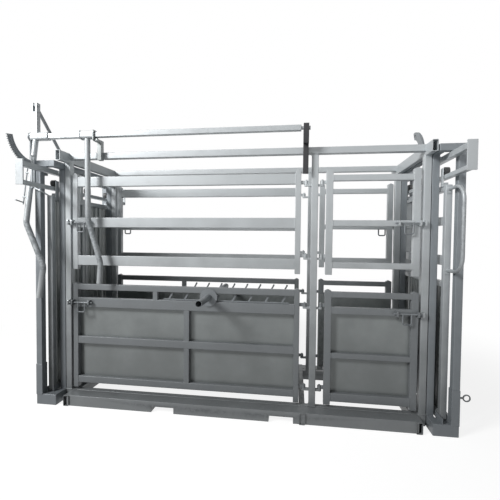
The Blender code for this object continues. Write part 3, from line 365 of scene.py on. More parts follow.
def piece(node, mesh, body, material):
    """A finished piece: one mesh at the origin that rides on its body and stands for its CAD node."""
    bmesh.ops.recalc_face_normals(mesh, faces=mesh.faces)
    data = bpy.data.meshes.new(f"{node}_skin")
    mesh.to_mesh(data)
    mesh.free()
    for face in data.polygons:
        face.use_smooth = True
    data.set_sharp_from_angle(angle=radians(50))
    # Parts that Geometry Nodes made bring a slot number of their own, which this resets
    data.materials.clear()
    data.materials.append(material)
    made = bpy.data.objects.new(f"{node}_skin", data)
    bpy.context.scene.collection.objects.link(made)
    flat_faces = made.modifiers.new("flat faces", "WEIGHTED_NORMAL")
    flat_faces.keep_sharp = True
    graph = bpy.context.evaluated_depsgraph_get()
    made.data = bpy.data.meshes.new_from_object(made.evaluated_get(graph))
    made.modifiers.clear()
    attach(made, body)
    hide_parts(node)


HINGE_Y = 0.355
HINGE_PIN = 0.0075
LEFT_HINGE_X = 0.5445
RIGHT_HINGE_X = 0.663
UPPER_HINGES = (1.235, 1.79)
LOWER_HINGES = (0.23, 0.86)
EYE_HIGH = 0.026
EYE_RADIUS = 0.015
BRACKET_HIGH = 0.016
KEEPER_X = 1.395
BOLT_Y = 0.394
BOLT_HOLE = 0.0076
BOLT_LEVELS = {"upper": 1.483, "lower": 0.822}
LUG_THICK = 0.012
LUG_HALF = 0.02
LUG_REACH = 0.019


def lug(into, sign, x, y_back, height):
    """A drilled lug with the slide bolt's hole."""
    y_low, y_high = mirrored(sign, BOLT_Y + LUG_REACH, y_back)
    centre = (sign * BOLT_Y, height)
    plate = around(centre, y_low, y_high, height - LUG_HALF, height + LUG_HALF)
    solid(into, plate, "x", x, x + LUG_THICK, hole=round_outline(centre, BOLT_HOLE), edge=0)


def notched_rail(into, sign, x_end, y_out, y_in):
    """A base rail with both fork notches cut up into it."""
    points = [(-x_end, 0)]
    for centre in FORK_AT:
        points += [(centre - FORK_HALF, 0), (centre - FORK_HALF, FORK_HIGH),
                   (centre + FORK_HALF, FORK_HIGH), (centre + FORK_HALF, 0)]
    points += [(x_end, 0), (x_end, BASE_HIGH), (-x_end, BASE_HIGH)]
    solid(into, points, "y", *mirrored(sign, y_out, y_in))


body_mesh = bmesh.new()
for x in BEAM_AT:
    open_bar(body_mesh, x, x + BEAM_WIDE, -HALF, HALF, TOP - BEAM_HIGH, TOP)
for x in CROSS_AT:
    open_bar(body_mesh, x, x + CROSS_WIDE, -HALF, HALF, PROUD, BASE_HIGH - PROUD)
rail_end = CROSS_AT[2] + CROSS_WIDE / 2
for sign in SIDES.values():
    notched_rail(body_mesh, sign, BODY_END, SIDE_OUT, SIDE_IN)
    notched_rail(body_mesh, sign, rail_end, BASE_RAIL_OUT, BASE_RAIL_IN)
    side_bar(body_mesh, sign, -TOP_RAIL_END, TOP_RAIL_END, SIDE_OUT, SIDE_IN, TOP - POST, TOP)
    for x in (-BODY_END, BODY_END - POST):
        side_bar(body_mesh, sign, x, x + POST, SIDE_OUT, SIDE_IN, BASE_HIGH - WELD_IN, POST_TOP)
        foot_weld(body_mesh, x, x + POST, *mirrored(sign, SIDE_OUT, SIDE_IN), BASE_HIGH)
    for height in BOLT_LEVELS.values():
        for x in (-KEEPER_X, KEEPER_X - LUG_THICK):
            lug(body_mesh, sign, x, SIDE_OUT - WELD_IN, height)
piece("body_frame", body_mesh, "frame", bright_zinc)

# The middle post of each side, with the pins that all four gates hang on
for side_name, sign in SIDES.items():
    post_mesh = bmesh.new()
    post_x = (MIDDLE_X, MIDDLE_X + POST)
    post_y = mirrored(sign, SIDE_OUT, SIDE_IN)
    bar(post_mesh, *post_x, *post_y, BASE_HIGH + GAP, TOP - POST - GAP)
    foot_weld(post_mesh, *post_x, *post_y, BASE_HIGH + 0.001)
    foot_weld(post_mesh, *post_x, *post_y, TOP - POST - 0.001, leg=-0.004)
    bracket_y = mirrored(sign, HINGE_Y - EYE_RADIUS, HINGE_Y + EYE_RADIUS)
    for height in UPPER_HINGES + LOWER_HINGES:
        seat = height - EYE_HIGH / 2 - GAP
        for x, face in ((LEFT_HINGE_X, post_x[0] + WELD_IN), (RIGHT_HINGE_X, post_x[1] - WELD_IN)):
            bar(post_mesh, *sorted((x, face)), *bracket_y, seat - BRACKET_HIGH + PROUD, seat - PROUD, 0.0015)
            centre = (x, sign * HINGE_Y)
            solid(post_mesh, round_outline(centre, EYE_RADIUS), "z", seat - BRACKET_HIGH, seat, edge=0.001)
            solid(post_mesh, round_outline(centre, HINGE_PIN), "z", seat - 0.004, height + 0.021, edge=0.0012)
    piece(f"middle_post_{side_name}", post_mesh, "frame", bright_zinc)

# The end modules
# A four-post gallows at each end of the crate, with a slot between its posts for the sliding leaves.
# Each outer post stands in a folded sleeve, and a low channel across the base guides the leaves.
END_X = 1.604
INNER_X = 1.433
SLOT_X = 1.483
ENDS = {"head": (1.97, -1), "rear": (2.02, 1)}
SLEEVE_TOP = 0.33
SLEEVE_THICK = 0.004
PAD_LEVELS = (0.015, 0.99, 1.84)
PAD_HIGH = 0.06
LEAF_OUT_X = 1.546
LEAF_IN_X = 1.501
CHANNEL_TOP = 0.125
CHANNEL_WALL = 0.003
CHANNEL_PLAY = 0.003


def end_bar(into, side, x0, x1, y0, y1, z0, z1, edge=BOX_EDGE):
    """A box section at one end, with its x written for the rear end."""
    bar(into, *mirrored(side, x0, x1), y0, y1, z0, z1, edge)


def corner_bar(into, side, sign, x0, x1, y_out, y_in, z0, z1, edge=BOX_EDGE):
    """The same, with its y written for the far side too."""
    end_bar(into, side, x0, x1, *mirrored(sign, y_out, y_in), z0, z1, edge)


for end, (top, side) in ENDS.items():
    module_mesh = bmesh.new()
    for x0, x1 in ((END_X - POST, END_X), (INNER_X, SLOT_X)):
        end_bar(module_mesh, side, x0, x1, -HALF, HALF, 0, BASE_HIGH)
    end_bar(module_mesh, side, INNER_X, SLOT_X, -HALF, HALF, top - POST, top)
    tie_x = (SLOT_X - WELD_IN, END_X - POST + WELD_IN)
    sleeve_y = (HALF + SLEEVE_THICK, HALF - POST - SLEEVE_THICK)
    for sign in SIDES.values():
        # Outer post, inner post, top tie, base tie and sleeve
        for x0, x1, y_out, y_in, z0, z1, edge in (
            (END_X - POST, END_X, HALF, HALF - POST, BASE_HIGH - WELD_IN, top, BOX_EDGE),
            (INNER_X, SLOT_X, SIDE_OUT, SIDE_IN, BASE_HIGH - WELD_IN, top - POST + WELD_IN, BOX_EDGE),
            (*tie_x, HALF, HALF - POST, top - POST, top, BOX_EDGE),
            (*tie_x, HALF, HALF - 2 * POST, 0, BASE_HIGH, BOX_EDGE),
            (END_X - POST - SLEEVE_THICK, END_X + PROUD, *sleeve_y, BASE_HIGH - WELD_IN, SLEEVE_TOP, 0.002),
        ):
            corner_bar(module_mesh, side, sign, x0, x1, y_out, y_in, z0, z1, edge)
        for low in PAD_LEVELS:
            corner_bar(module_mesh, side, sign, BODY_END + GAP, INNER_X + WELD_IN, SIDE_OUT - 0.01,
                       SIDE_IN + 0.01, low, low + PAD_HIGH, 0.001)
    if end == "rear":
        channel_mesh = module_mesh
        channel_low = BASE_HIGH - WELD_IN
        reach = HALF
    else:
        channel_mesh = bmesh.new()
        channel_low = BASE_HIGH + GAP
        reach = HALF - POST - SLEEVE_THICK - GAP
    channel_out = LEAF_OUT_X + CHANNEL_PLAY + CHANNEL_WALL
    channel_in = LEAF_IN_X - CHANNEL_PLAY - CHANNEL_WALL
    for x in (channel_out - CHANNEL_WALL, channel_in):
        end_bar(channel_mesh, side, x, x + CHANNEL_WALL, -reach, reach, channel_low, CHANNEL_TOP, 0.0007)
    end_bar(channel_mesh, side, channel_in + PROUD, channel_out - PROUD, -reach, reach,
            channel_low + PROUD / 2, BASE_HIGH + 0.002, 0.0005)
    # The end modules take the darker copy of the zinc, as painted shade
    piece(f"{end}_frame", module_mesh, "frame", shaded_end_zinc)
    if end == "head":
        piece("head_channel", channel_mesh, "frame", shaded_end_zinc)

# The door tracks
# Two bars across each end, closed by an end plate on each side and bridged to the posts: the leaves hang from
# rollers that run on the lower bar.
TRACK_MID_X = (LEAF_OUT_X + LEAF_IN_X) / 2
TRACK_HALF = 0.02
TRACK_BAR_END = 0.739
TRACK_OUT = 0.745
TRACK_PLATE = 0.01
LOWER_BAR = (0.225, 0.195)
UPPER_BAR = (0.095, 0.055)
dull_zinc = zinc("dull zinc", (0.08, 0.095, 0.105), (0.26, 0.28, 0.295), rough=(0.38, 0.58), cells=60.0,
                 ground_shade_min=0.6)


def track_levels(top):
    """Underside and top of the lower bar and of the upper bar, below the top of the end module."""
    return [[top - drop for drop in drops] for drops in (LOWER_BAR, UPPER_BAR)]


for end, (top, side) in ENDS.items():
    lower, upper = track_levels(top)
    bar_in = TRACK_MID_X - TRACK_HALF
    bar_out = TRACK_MID_X + TRACK_HALF
    track_mesh = bmesh.new()
    for z0, z1 in (lower, upper):
        end_bar(track_mesh, side, bar_in, bar_out, -TRACK_BAR_END, TRACK_BAR_END, z0, z1, 0.003)
    bridge_z = (upper[0] + 0.005, upper[1] - 0.005)
    for sign in SIDES.values():
        # End plate, bridge to the outer post and bridge to the inner post
        for x0, x1, y_out, y_in, z0, z1 in (
            (bar_in - 0.01, bar_out + 0.01, TRACK_OUT, TRACK_OUT - TRACK_PLATE,
             lower[0] - 0.005, upper[1] + 0.01),
            (bar_out - WELD_IN, END_X - POST - GAP, HALF - 0.01, HALF - 0.04, *bridge_z),
            (SLOT_X + GAP, bar_in + WELD_IN, SIDE_OUT - 0.01, SIDE_IN + 0.01, *bridge_z),
        ):
            corner_bar(track_mesh, side, sign, x0, x1, y_out, y_in, z0, z1, 0.0015)
    piece(f"{end}_track", track_mesh, "frame", bright_zinc)

# The sliding leaves
# Two to each end: a box section frame round a sheet folded into upright ribs, and on the rear pair three
# rails over a lower sheet. Each hangs from two dark rollers, and each rear one has a round pull bent into a
# long D.
LEAF_OUTER = 0.44
LEAF_MEET = 0.003
LEAF_STILE = 0.040
LEAF_LOW = 0.092
LEAF_DROP = 0.045
REAR_SHEET_TOP = 1.03
REAR_RAILS = ((REAR_SHEET_TOP, REAR_SHEET_TOP + 0.04), (1.185, 1.255), (1.470, 1.530))
HANGER_HALF = 0.02
HANGER_THICK = 0.006
AXLE = 0.0062
ROLLER = 0.028
ROLLER_HALF = 0.015
ROLLER_BORE = 0.0068
ROLLER_AT = {"outer": 0.385, "inner": 0.060}
RIBS = 5
PULL_LEVELS = (1.153, 1.720)
PULL_REACH = 0.215
PULL_RADIUS = 0.0125


def growth(name, inputs):
    """An empty geometry tree with named sockets, and its ends."""
    tree = bpy.data.node_groups.new(name, "GeometryNodeTree")
    tree.interface.new_socket("Geometry", in_out="INPUT", socket_type="NodeSocketGeometry")
    for label, kind, value in inputs:
        socket = tree.interface.new_socket(label, in_out="INPUT", socket_type=kind)
        if value is not None:
            socket.default_value = value
    tree.interface.new_socket("Geometry", in_out="OUTPUT", socket_type="NodeSocketGeometry")
    return tree, tree.nodes.new("NodeGroupInput"), tree.nodes.new("NodeGroupOutput")


def close_growth(tree, start, end, made):
    """Ends a tree with real geometry and its material."""
    real = tree.nodes.new("GeometryNodeRealizeInstances")
    paint = tree.nodes.new("GeometryNodeSetMaterial")
    tree.links.new(made, real.inputs["Geometry"])
    tree.links.new(real.outputs["Geometry"], paint.inputs["Geometry"])
    tree.links.new(start.outputs["Material"], paint.inputs["Material"])
    tree.links.new(paint.outputs["Geometry"], end.inputs["Geometry"])
    return tree


def grown(into, tree, source, material, x=0.0, y=0.0, z=0.0, **values):
    """Adds what a tree makes of a mesh, as plain faces, moved into place."""
    carrier = bpy.data.objects.new("carrier", source)
    bpy.context.scene.collection.objects.link(carrier)
    modifier = carrier.modifiers.new("growth", "NODES")
    modifier.node_group = tree
    wanted = {label.replace("_", " "): value for label, value in values.items()}
    wanted["Material"] = material
    for item in tree.interface.items_tree:
        if item.in_out == "INPUT" and item.name in wanted:
            modifier[item.identifier] = wanted[item.name]
    carrier.update_tag()
    graph = bpy.context.evaluated_depsgraph_get()
    data = bpy.data.meshes.new_from_object(carrier.evaluated_get(graph))
    carrier.modifiers.clear()
    bpy.data.objects.remove(carrier)
    data.transform(Matrix.Translation((x, y, z)))
    into.from_mesh(data)
    bpy.data.meshes.remove(data)


def fold_tree():
    """A flat sheet in the Y and Z plane, folded into upright ribs and given its thickness."""
    tree, start, end = growth("Folded Sheet", (
        ("Width", "NodeSocketFloat", 0.356), ("Height", "NodeSocketFloat", 1.5), ("Ribs", "NodeSocketInt", 5),
        ("Depth", "NodeSocketFloat", 0.014), ("Thickness", "NodeSocketFloat", 0.003),
        ("Material", "NodeSocketMaterial", None),
    ))
    link = tree.links.new
    columns = node_of(tree, "ShaderNodeMath", {1: 20}, operation="MULTIPLY")
    lines = node_of(tree, "ShaderNodeMath", {1: 1}, operation="ADD")
    grid = node_of(tree, "GeometryNodeMeshGrid", {"Vertices Y": 2})
    place = node_of(tree, "GeometryNodeInputPosition")
    split = node_of(tree, "ShaderNodeSeparateXYZ")
    pitch = node_of(tree, "ShaderNodeMath", operation="DIVIDE")
    half = node_of(tree, "ShaderNodeMath", {1: 0.5}, operation="MULTIPLY")
    from_edge = node_of(tree, "ShaderNodeMath", {1: 0.5}, operation="MULTIPLY_ADD")
    wave = node_of(tree, "ShaderNodeMath", operation="PINGPONG")
    share = node_of(tree, "ShaderNodeMath", operation="DIVIDE")
    slope = node_of(tree, "ShaderNodeMapRange", {"From Min": 0.64, "From Max": 0.86})
    turned = node_of(tree, "ShaderNodeCombineXYZ")
    set_place = node_of(tree, "GeometryNodeSetPosition")
    extrude = node_of(tree, "GeometryNodeExtrudeMesh", {"Individual": False}, mode="FACES")
    flip = node_of(tree, "GeometryNodeFlipFaces")
    join = node_of(tree, "GeometryNodeJoinGeometry")
    link(start.outputs["Ribs"], columns.inputs[0])
    link(columns.outputs["Value"], lines.inputs[0])
    link(lines.outputs["Value"], grid.inputs["Vertices X"])
    link(start.outputs["Width"], grid.inputs["Size X"])
    link(start.outputs["Height"], grid.inputs["Size Y"])
    link(place.outputs["Position"], split.inputs["Vector"])
    link(start.outputs["Width"], pitch.inputs[0])
    link(start.outputs["Ribs"], pitch.inputs[1])
    link(pitch.outputs["Value"], half.inputs[0])
    link(start.outputs["Width"], from_edge.inputs[0])
    link(split.outputs["X"], from_edge.inputs[2])
    link(from_edge.outputs["Value"], wave.inputs[0])
    link(half.outputs["Value"], wave.inputs[1])
    link(wave.outputs["Value"], share.inputs[0])
    link(half.outputs["Value"], share.inputs[1])
    link(share.outputs["Value"], slope.inputs["Value"])
    link(start.outputs["Depth"], slope.inputs["To Max"])
    link(slope.outputs["Result"], turned.inputs["X"])
    link(split.outputs["X"], turned.inputs["Y"])
    link(split.outputs["Y"], turned.inputs["Z"])
    link(grid.outputs["Mesh"], set_place.inputs["Geometry"])
    link(turned.outputs["Vector"], set_place.inputs["Position"])
    link(set_place.outputs["Geometry"], extrude.inputs["Mesh"])
    link(start.outputs["Thickness"], extrude.inputs["Offset Scale"])
    link(set_place.outputs["Geometry"], flip.inputs["Mesh"])
    link(extrude.outputs["Mesh"], join.inputs["Geometry"])
    link(flip.outputs["Mesh"], join.inputs["Geometry"])
    return close_growth(tree, start, end, join.outputs["Geometry"])


def sweep_tree():
    """A round bar or tube along a path, with its corners turned on a radius."""
    tree, start, end = growth("Bent Tube", (
        ("Radius", "NodeSocketFloat", 0.012), ("Bend", "NodeSocketFloat", 0.03),
        ("Sides", "NodeSocketInt", 16), ("Material", "NodeSocketMaterial", None),
    ))
    link = tree.links.new
    path = node_of(tree, "GeometryNodeMeshToCurve")
    turn = node_of(tree, "GeometryNodeFilletCurve", {"Count": 7, "Limit Radius": True}, mode="POLY")
    ring = node_of(tree, "GeometryNodeCurvePrimitiveCircle")
    sweep = node_of(tree, "GeometryNodeCurveToMesh", {"Fill Caps": True})
    link(start.outputs["Geometry"], path.inputs["Mesh"])
    link(path.outputs["Curve"], turn.inputs["Curve"])
    link(start.outputs["Bend"], turn.inputs["Radius"])
    link(start.outputs["Radius"], ring.inputs["Radius"])
    link(start.outputs["Sides"], ring.inputs["Resolution"])
    link(turn.outputs["Curve"], sweep.inputs["Curve"])
    link(ring.outputs["Curve"], sweep.inputs["Profile Curve"])
    return close_growth(tree, start, end, sweep.outputs["Mesh"])


folded_sheet = fold_tree()
bent_tube = sweep_tree()
sheet_zinc = zinc("sheet zinc", (0.175, 0.195, 0.195), (0.335, 0.36, 0.36), rough=(0.28, 0.42), cells=34.0,
                  streaks=0.45, bump=0.02, ground_shade_min=0.45)
roller_black = zinc("roller black", (0.03, 0.03, 0.03), (0.09, 0.09, 0.09), rough=(0.45, 0.6), metallic=0.1)


def tube(into, points, radius, bend, material, closed=False, sides=16):
    """Adds a round bar along a path of straight lengths."""
    path = bpy.data.meshes.new("path")
    lengths = [(i, i + 1) for i in range(len(points) - 1)]
    if closed:
        lengths.append((len(points) - 1, 0))
    path.from_pydata(points, lengths, [])
    grown(into, bent_tube, path, material, Radius=radius, Bend=bend, Sides=sides)
    bpy.data.meshes.remove(path)


def leaf_top(top):
    return track_levels(top)[0][0] - LEAF_DROP


def axle_level(top):
    """Height of a roller's axle, with the roller on the lower bar."""
    return track_levels(top)[0][1] + ROLLER + GAP


def leaf_frame(into, side, sign, top):
    """The leaf's box section frame."""
    high = leaf_top(top)

    def part(y_out, y_in, z0, z1, inset=0.0):
        corner_bar(into, side, sign, LEAF_IN_X + inset, LEAF_OUT_X - inset, y_out, y_in, z0, z1)

    part(LEAF_OUTER, LEAF_OUTER - LEAF_STILE, LEAF_LOW, high)
    part(LEAF_MEET + LEAF_STILE, LEAF_MEET, LEAF_LOW, high)
    rail_y = (LEAF_OUTER - LEAF_STILE + WELD_IN, LEAF_MEET + LEAF_STILE - WELD_IN)
    part(*rail_y, LEAF_LOW, LEAF_LOW + LEAF_STILE)
    part(*rail_y, high - LEAF_STILE, high)
    if side > 0:
        for z0, z1 in REAR_RAILS:
            part(*rail_y, z0, z1, inset=0.003)


def hangers(into, side, sign, top):
    """Hanger plates beside the lower bar, with their feet on the leaf and an axle through each roller."""
    foot_z = leaf_top(top) - 0.01
    axle_z = axle_level(top)
    plate_out = TRACK_MID_X - 0.024
    plate_in = plate_out - HANGER_THICK
    for y in ROLLER_AT.values():
        y_out = y + HANGER_HALF
        y_in = y - HANGER_HALF
        corner_bar(into, side, sign, plate_in, plate_out, y_out, y_in, foot_z, axle_z + 0.02, 0.002)
        corner_bar(into, side, sign, plate_in + PROUD, LEAF_OUT_X - 0.015, y_out - PROUD, y_in + PROUD,
                   foot_z + PROUD, foot_z + 0.03, 0.002)
        axle_x = mirrored(side, plate_out - HANGER_THICK / 2, TRACK_MID_X + TRACK_HALF)
        solid(into, round_outline((sign * y, axle_z), AXLE, 16), "x", *axle_x, edge=0.0008)


def leaf_sheet(side, sign, low, high):
    """The leaf's ribbed sheet, as a mesh of its own."""
    mesh = bmesh.new()
    flat = bpy.data.meshes.new("flat")
    fold_x = side * (TRACK_MID_X - 0.008) - (0.017 if side < 0 else 0)
    width = LEAF_OUTER - LEAF_MEET - 2 * LEAF_STILE - 2 * GAP
    grown(mesh, folded_sheet, flat, sheet_zinc, x=fold_x, y=sign * (LEAF_OUTER + LEAF_MEET) / 2,
          z=(low + high) / 2, Width=width, Height=high - low, Ribs=RIBS)
    bpy.data.meshes.remove(flat)
    return mesh


def roller(side, sign, y, axle_z):
    mesh = bmesh.new()
    centre = (sign * y, axle_z)
    solid(mesh, round_outline(centre, ROLLER, 40), "x",
          *mirrored(side, TRACK_MID_X - ROLLER_HALF, TRACK_MID_X + ROLLER_HALF),
          hole=round_outline(centre, ROLLER_BORE, 40), edge=0)
    return mesh


def rear_pull(sign):
    """The long D of round bar on a rear leaf, with a plate behind each of its ends."""
    mesh = bmesh.new()
    stile_y = LEAF_OUTER + GAP
    low, high = PULL_LEVELS
    bends = ((stile_y + 0.001, low), (LEAF_OUTER + PULL_REACH, low),
             (LEAF_OUTER + PULL_REACH, high), (stile_y + 0.001, high))
    tube(mesh, [(TRACK_MID_X, sign * y, z) for y, z in bends], PULL_RADIUS, 0.10, bright_zinc)
    for z in PULL_LEVELS:
        side_bar(mesh, sign, TRACK_MID_X - 0.018, TRACK_MID_X + 0.018, stile_y, stile_y + 0.005,
                 z - 0.03, z + 0.03, 0.0015)
    return mesh


leaf_meshes = {}
for end, (top, side) in ENDS.items():
    axle_z = axle_level(top)
    sheet_low = LEAF_LOW + LEAF_STILE + GAP
    sheet_high = (REAR_SHEET_TOP if end == "rear" else leaf_top(top) - LEAF_STILE) - GAP
    for side_name, sign in SIDES.items():
        leaf = f"{end}_leaf_{side_name}"
        leaf_mesh = bmesh.new()
        leaf_frame(leaf_mesh, side, sign, top)
        hangers(leaf_mesh, side, sign, top)
        leaf_meshes[end, side_name] = leaf_mesh
        sheet_mesh = leaf_sheet(side, sign, sheet_low, sheet_high)
        piece(f"{end}_leaf_sheet_{side_name}", sheet_mesh, leaf, sheet_zinc)
        for place, y in ROLLER_AT.items():
            name = f"{end}_roller_{place}_{side_name}"
            piece(name, roller(side, sign, y, axle_z), name, roller_black)
        if end == "rear":
            piece(f"rear_pull_{side_name}", rear_pull(sign), leaf, bright_zinc)
            piece(leaf, leaf_mesh, leaf, bright_zinc)

# The side gates
# Four to a side, split at mid height and at the middle post. Each is a welded frame of box section rails
# between crowned stiles, hung on two eyes, with two drilled lugs for its slide bolt. The lower ones are
# sheeted inside.
GATE_FRONT = 0.375
GATE_BACK = 0.335
GATES = {
    ("upper", "left"): (1.095, 1.89, ((1.130, 1.210), (1.443, 1.523), (1.777, 1.857))),
    ("upper", "right"): (1.095, 1.89, ((1.145, 1.190), (1.460, 1.506), (1.797, 1.843))),
    ("lower", "left"): (0.105, 0.985, ((0.145, 0.200), (0.476, 0.536), (0.782, 0.860), (0.925, 0.973))),
    ("lower", "right"): (0.105, 0.985, ((0.131, 0.196), (0.462, 0.504), (0.800, 0.852), (0.925, 0.968))),
}
REACH = {"left": (-1.364, 0.506), "right": (1.364, 0.693)}
INWARD = {"left": 1, "right": -1}
STILE_WIDE = {"left": 0.042, "right": 0.050}
CROWN = 0.012
# Place and width of the short uprights of a lower left gate, and the rails below and above them
SHORT_UPRIGHTS = ((-0.410, 0.045, 0, 2), (-0.670, 0.040, 2, 3))
EYE_BORE = 0.0092
GUIDES_AT = (-1.362, -1.215)
SHEET_THICK = 0.003
SHEET_FOLD = 0.014
# A darker zinc for the lower gates than the bright zinc of the upper ones
lower_gate_zinc = zinc("lower gate zinc", (0.065, 0.075, 0.082), (0.215, 0.23, 0.24), rough=(0.38, 0.56),
                      ground_shade_min=0.7)


def gate_mesh(level, half, sign):
    low, high, rails = GATES[level, half]
    end_x, hinge_x = REACH[half]
    inward = INWARD[half]
    wide = STILE_WIDE[half]
    mesh = bmesh.new()
    for x, step in ((end_x, inward), (hinge_x, -inward)):
        x0, x1 = sorted((x, x + step * wide))
        crown = [(x0, low), (x1, low), (x1, high - CROWN), ((x0 + x1) / 2, high), (x0, high - CROWN)]
        solid(mesh, crown, "y", *mirrored(sign, GATE_FRONT, GATE_BACK), edge=0.003)
    x0, x1 = sorted((end_x + inward * (wide - WELD_IN), hinge_x - inward * (wide - WELD_IN)))
    for z0, z1 in rails:
        side_bar(mesh, sign, x0, x1, GATE_FRONT - 0.001, GATE_BACK + 0.001, z0, z1)
        for x in (x0 + WELD_IN, x1 - WELD_IN):
            for y in (GATE_FRONT - 0.002, GATE_BACK + 0.002):
                end_weld(mesh, x, sign * y, z0, z1)
    if (level, half) == ("lower", "left"):
        for x, across, below, above in SHORT_UPRIGHTS:
            side_bar(mesh, sign, x, x + across, GATE_FRONT - 0.002, GATE_BACK + 0.002,
                     rails[below][1] - WELD_IN, rails[above][0] + WELD_IN, 0.003)
    axis_x = LEFT_HINGE_X if half == "left" else RIGHT_HINGE_X
    strap_x = sorted((axis_x - inward * 0.012, hinge_x - inward * WELD_IN))
    for height in UPPER_HINGES if level == "upper" else LOWER_HINGES:
        z0, z1 = height - EYE_HIGH / 2, height + EYE_HIGH / 2
        side_bar(mesh, sign, *strap_x, HINGE_Y + 0.008, HINGE_Y - 0.008, z0, z1, 0.0015)
        centre = (axis_x, sign * HINGE_Y)
        bore = round_outline(centre, EYE_BORE)
        solid(mesh, round_outline(centre, EYE_RADIUS), "z", z0, z1, hole=bore, edge=0)
    for x in GUIDES_AT:
        lug_x = x if half == "left" else -x - LUG_THICK
        lug(mesh, sign, lug_x, GATE_FRONT - 0.004, BOLT_LEVELS[level])
    return mesh


def gate_sheet(half, sign):
    """The folded sheet inside a lower gate."""
    rails = GATES["lower", half][2]
    end_x, hinge_x = REACH[half]
    back = GATE_BACK - GAP
    front = back - SHEET_THICK
    low = rails[0][0] + 0.008
    high = rails[2][1] - 0.012
    fold = back - SHEET_FOLD
    section = [(back, low), (back, high), (front, high), (front, low + SHEET_THICK),
               (fold, low + SHEET_THICK), (fold, low)]
    mesh = bmesh.new()
    solid(mesh, [(sign * y, z) for y, z in section], "x",
          *sorted((end_x + INWARD[half] * 0.012, hinge_x - INWARD[half] * 0.012)), edge=0.0008)
    return mesh


for side_name, sign in SIDES.items():
    for level, half in GATES:
        gate = f"gate_{level}_{half}_{side_name}"
        coat = bright_zinc if level == "upper" else lower_gate_zinc
        piece(gate, gate_mesh(level, half, sign), gate, coat)
        if level == "lower":
            piece(f"sheet_{half}_{side_name}", gate_sheet(half, sign), gate, sheet_zinc)

# The slide bolts
# A round bolt in two lugs, worked by a loop of rod bent down from it, on the free end of every gate.
BOLT_RADIUS = 0.007
BOLT_TIP = -1.381
BOLT_TAIL = -1.185
LOOP_LEGS = (-1.310, -1.250)
LOOP_DROP = 0.078
LOOP_RADIUS = 0.006
LOOP_BEND = 0.014

for side_name, sign in SIDES.items():
    for level, half in GATES:
        turn = INWARD[half]
        top = BOLT_LEVELS[level]
        low = top - LOOP_DROP
        y = sign * BOLT_Y
        bolt_mesh = bmesh.new()
        solid(bolt_mesh, round_outline((y, top), BOLT_RADIUS, 20), "x", *mirrored(turn, BOLT_TIP, BOLT_TAIL),
              edge=0.0015)
        loop = [(LOOP_LEGS[0], top), (LOOP_LEGS[0], low), (LOOP_LEGS[1], low), (LOOP_LEGS[1], top)]
        tube(bolt_mesh, [(turn * x, y, z) for x, z in loop], LOOP_RADIUS, LOOP_BEND, dull_zinc, sides=12)
        name = f"bolt_{level}_{half}_{side_name}"
        piece(name, bolt_mesh, name, dull_zinc)

# The rump bar and its racks
# A row of leaning hooked teeth runs between the top rails of each lower gate, and an open tube with a stop
# disc is pushed through the crate between two of them.
TOOTH_PITCH = 0.13
FIRST_TOOTH = -0.5475
TOOTH_COUNT = 8
TOOTH_WIDE = 0.016
TOOTH_LEAN = 0.020
TOOTH_HIGH = 0.044
HOOK_RADIUS = 0.009
RACK_LOW = 0.860 + GAP
RACK_FOOT = 0.010
RACK_OUT = 0.351
RACK_IN = 0.343
RUMP_BAR = 0.025
RUMP_BAR_ENDS = (-0.659, 0.300)
STOP_DISC = 0.070
STOP_DISC_Y = (-0.385, -0.379)


def repeat_tree():
    """Copies of a piece at equal steps, each turned a little more than the last about X."""
    tree, start, end = growth("Repeat In Steps", (
        ("Count", "NodeSocketInt", 8), ("Step", "NodeSocketVector", None), ("Turn", "NodeSocketFloat", 0.0),
        ("Material", "NodeSocketMaterial", None),
    ))
    link = tree.links.new
    line = node_of(tree, "GeometryNodeMeshLine")
    place = node_of(tree, "GeometryNodeInstanceOnPoints")
    number = node_of(tree, "GeometryNodeInputIndex")
    angle = node_of(tree, "ShaderNodeMath", operation="MULTIPLY")
    turned = node_of(tree, "ShaderNodeCombineXYZ")
    link(start.outputs["Count"], line.inputs["Count"])
    link(start.outputs["Step"], line.inputs["Offset"])
    link(number.outputs["Index"], angle.inputs[0])
    link(start.outputs["Turn"], angle.inputs[1])
    link(angle.outputs["Value"], turned.inputs["X"])
    link(line.outputs["Mesh"], place.inputs["Points"])
    link(start.outputs["Geometry"], place.inputs["Instance"])
    link(turned.outputs["Vector"], place.inputs["Rotation"])
    return close_growth(tree, start, end, place.outputs["Instances"])


repeat_in_steps = repeat_tree()


def repeated(into, one, material, count, step, turn=0.0, x=0.0, y=0.0, z=0.0):
    """Adds copies of a small mesh, and uses it up."""
    bmesh.ops.recalc_face_normals(one, faces=one.faces)
    data = bpy.data.meshes.new("one")
    one.to_mesh(data)
    one.free()
    grown(into, repeat_in_steps, data, material, x=x, y=y, z=z, Count=count, Step=step, Turn=turn)
    bpy.data.meshes.remove(data)


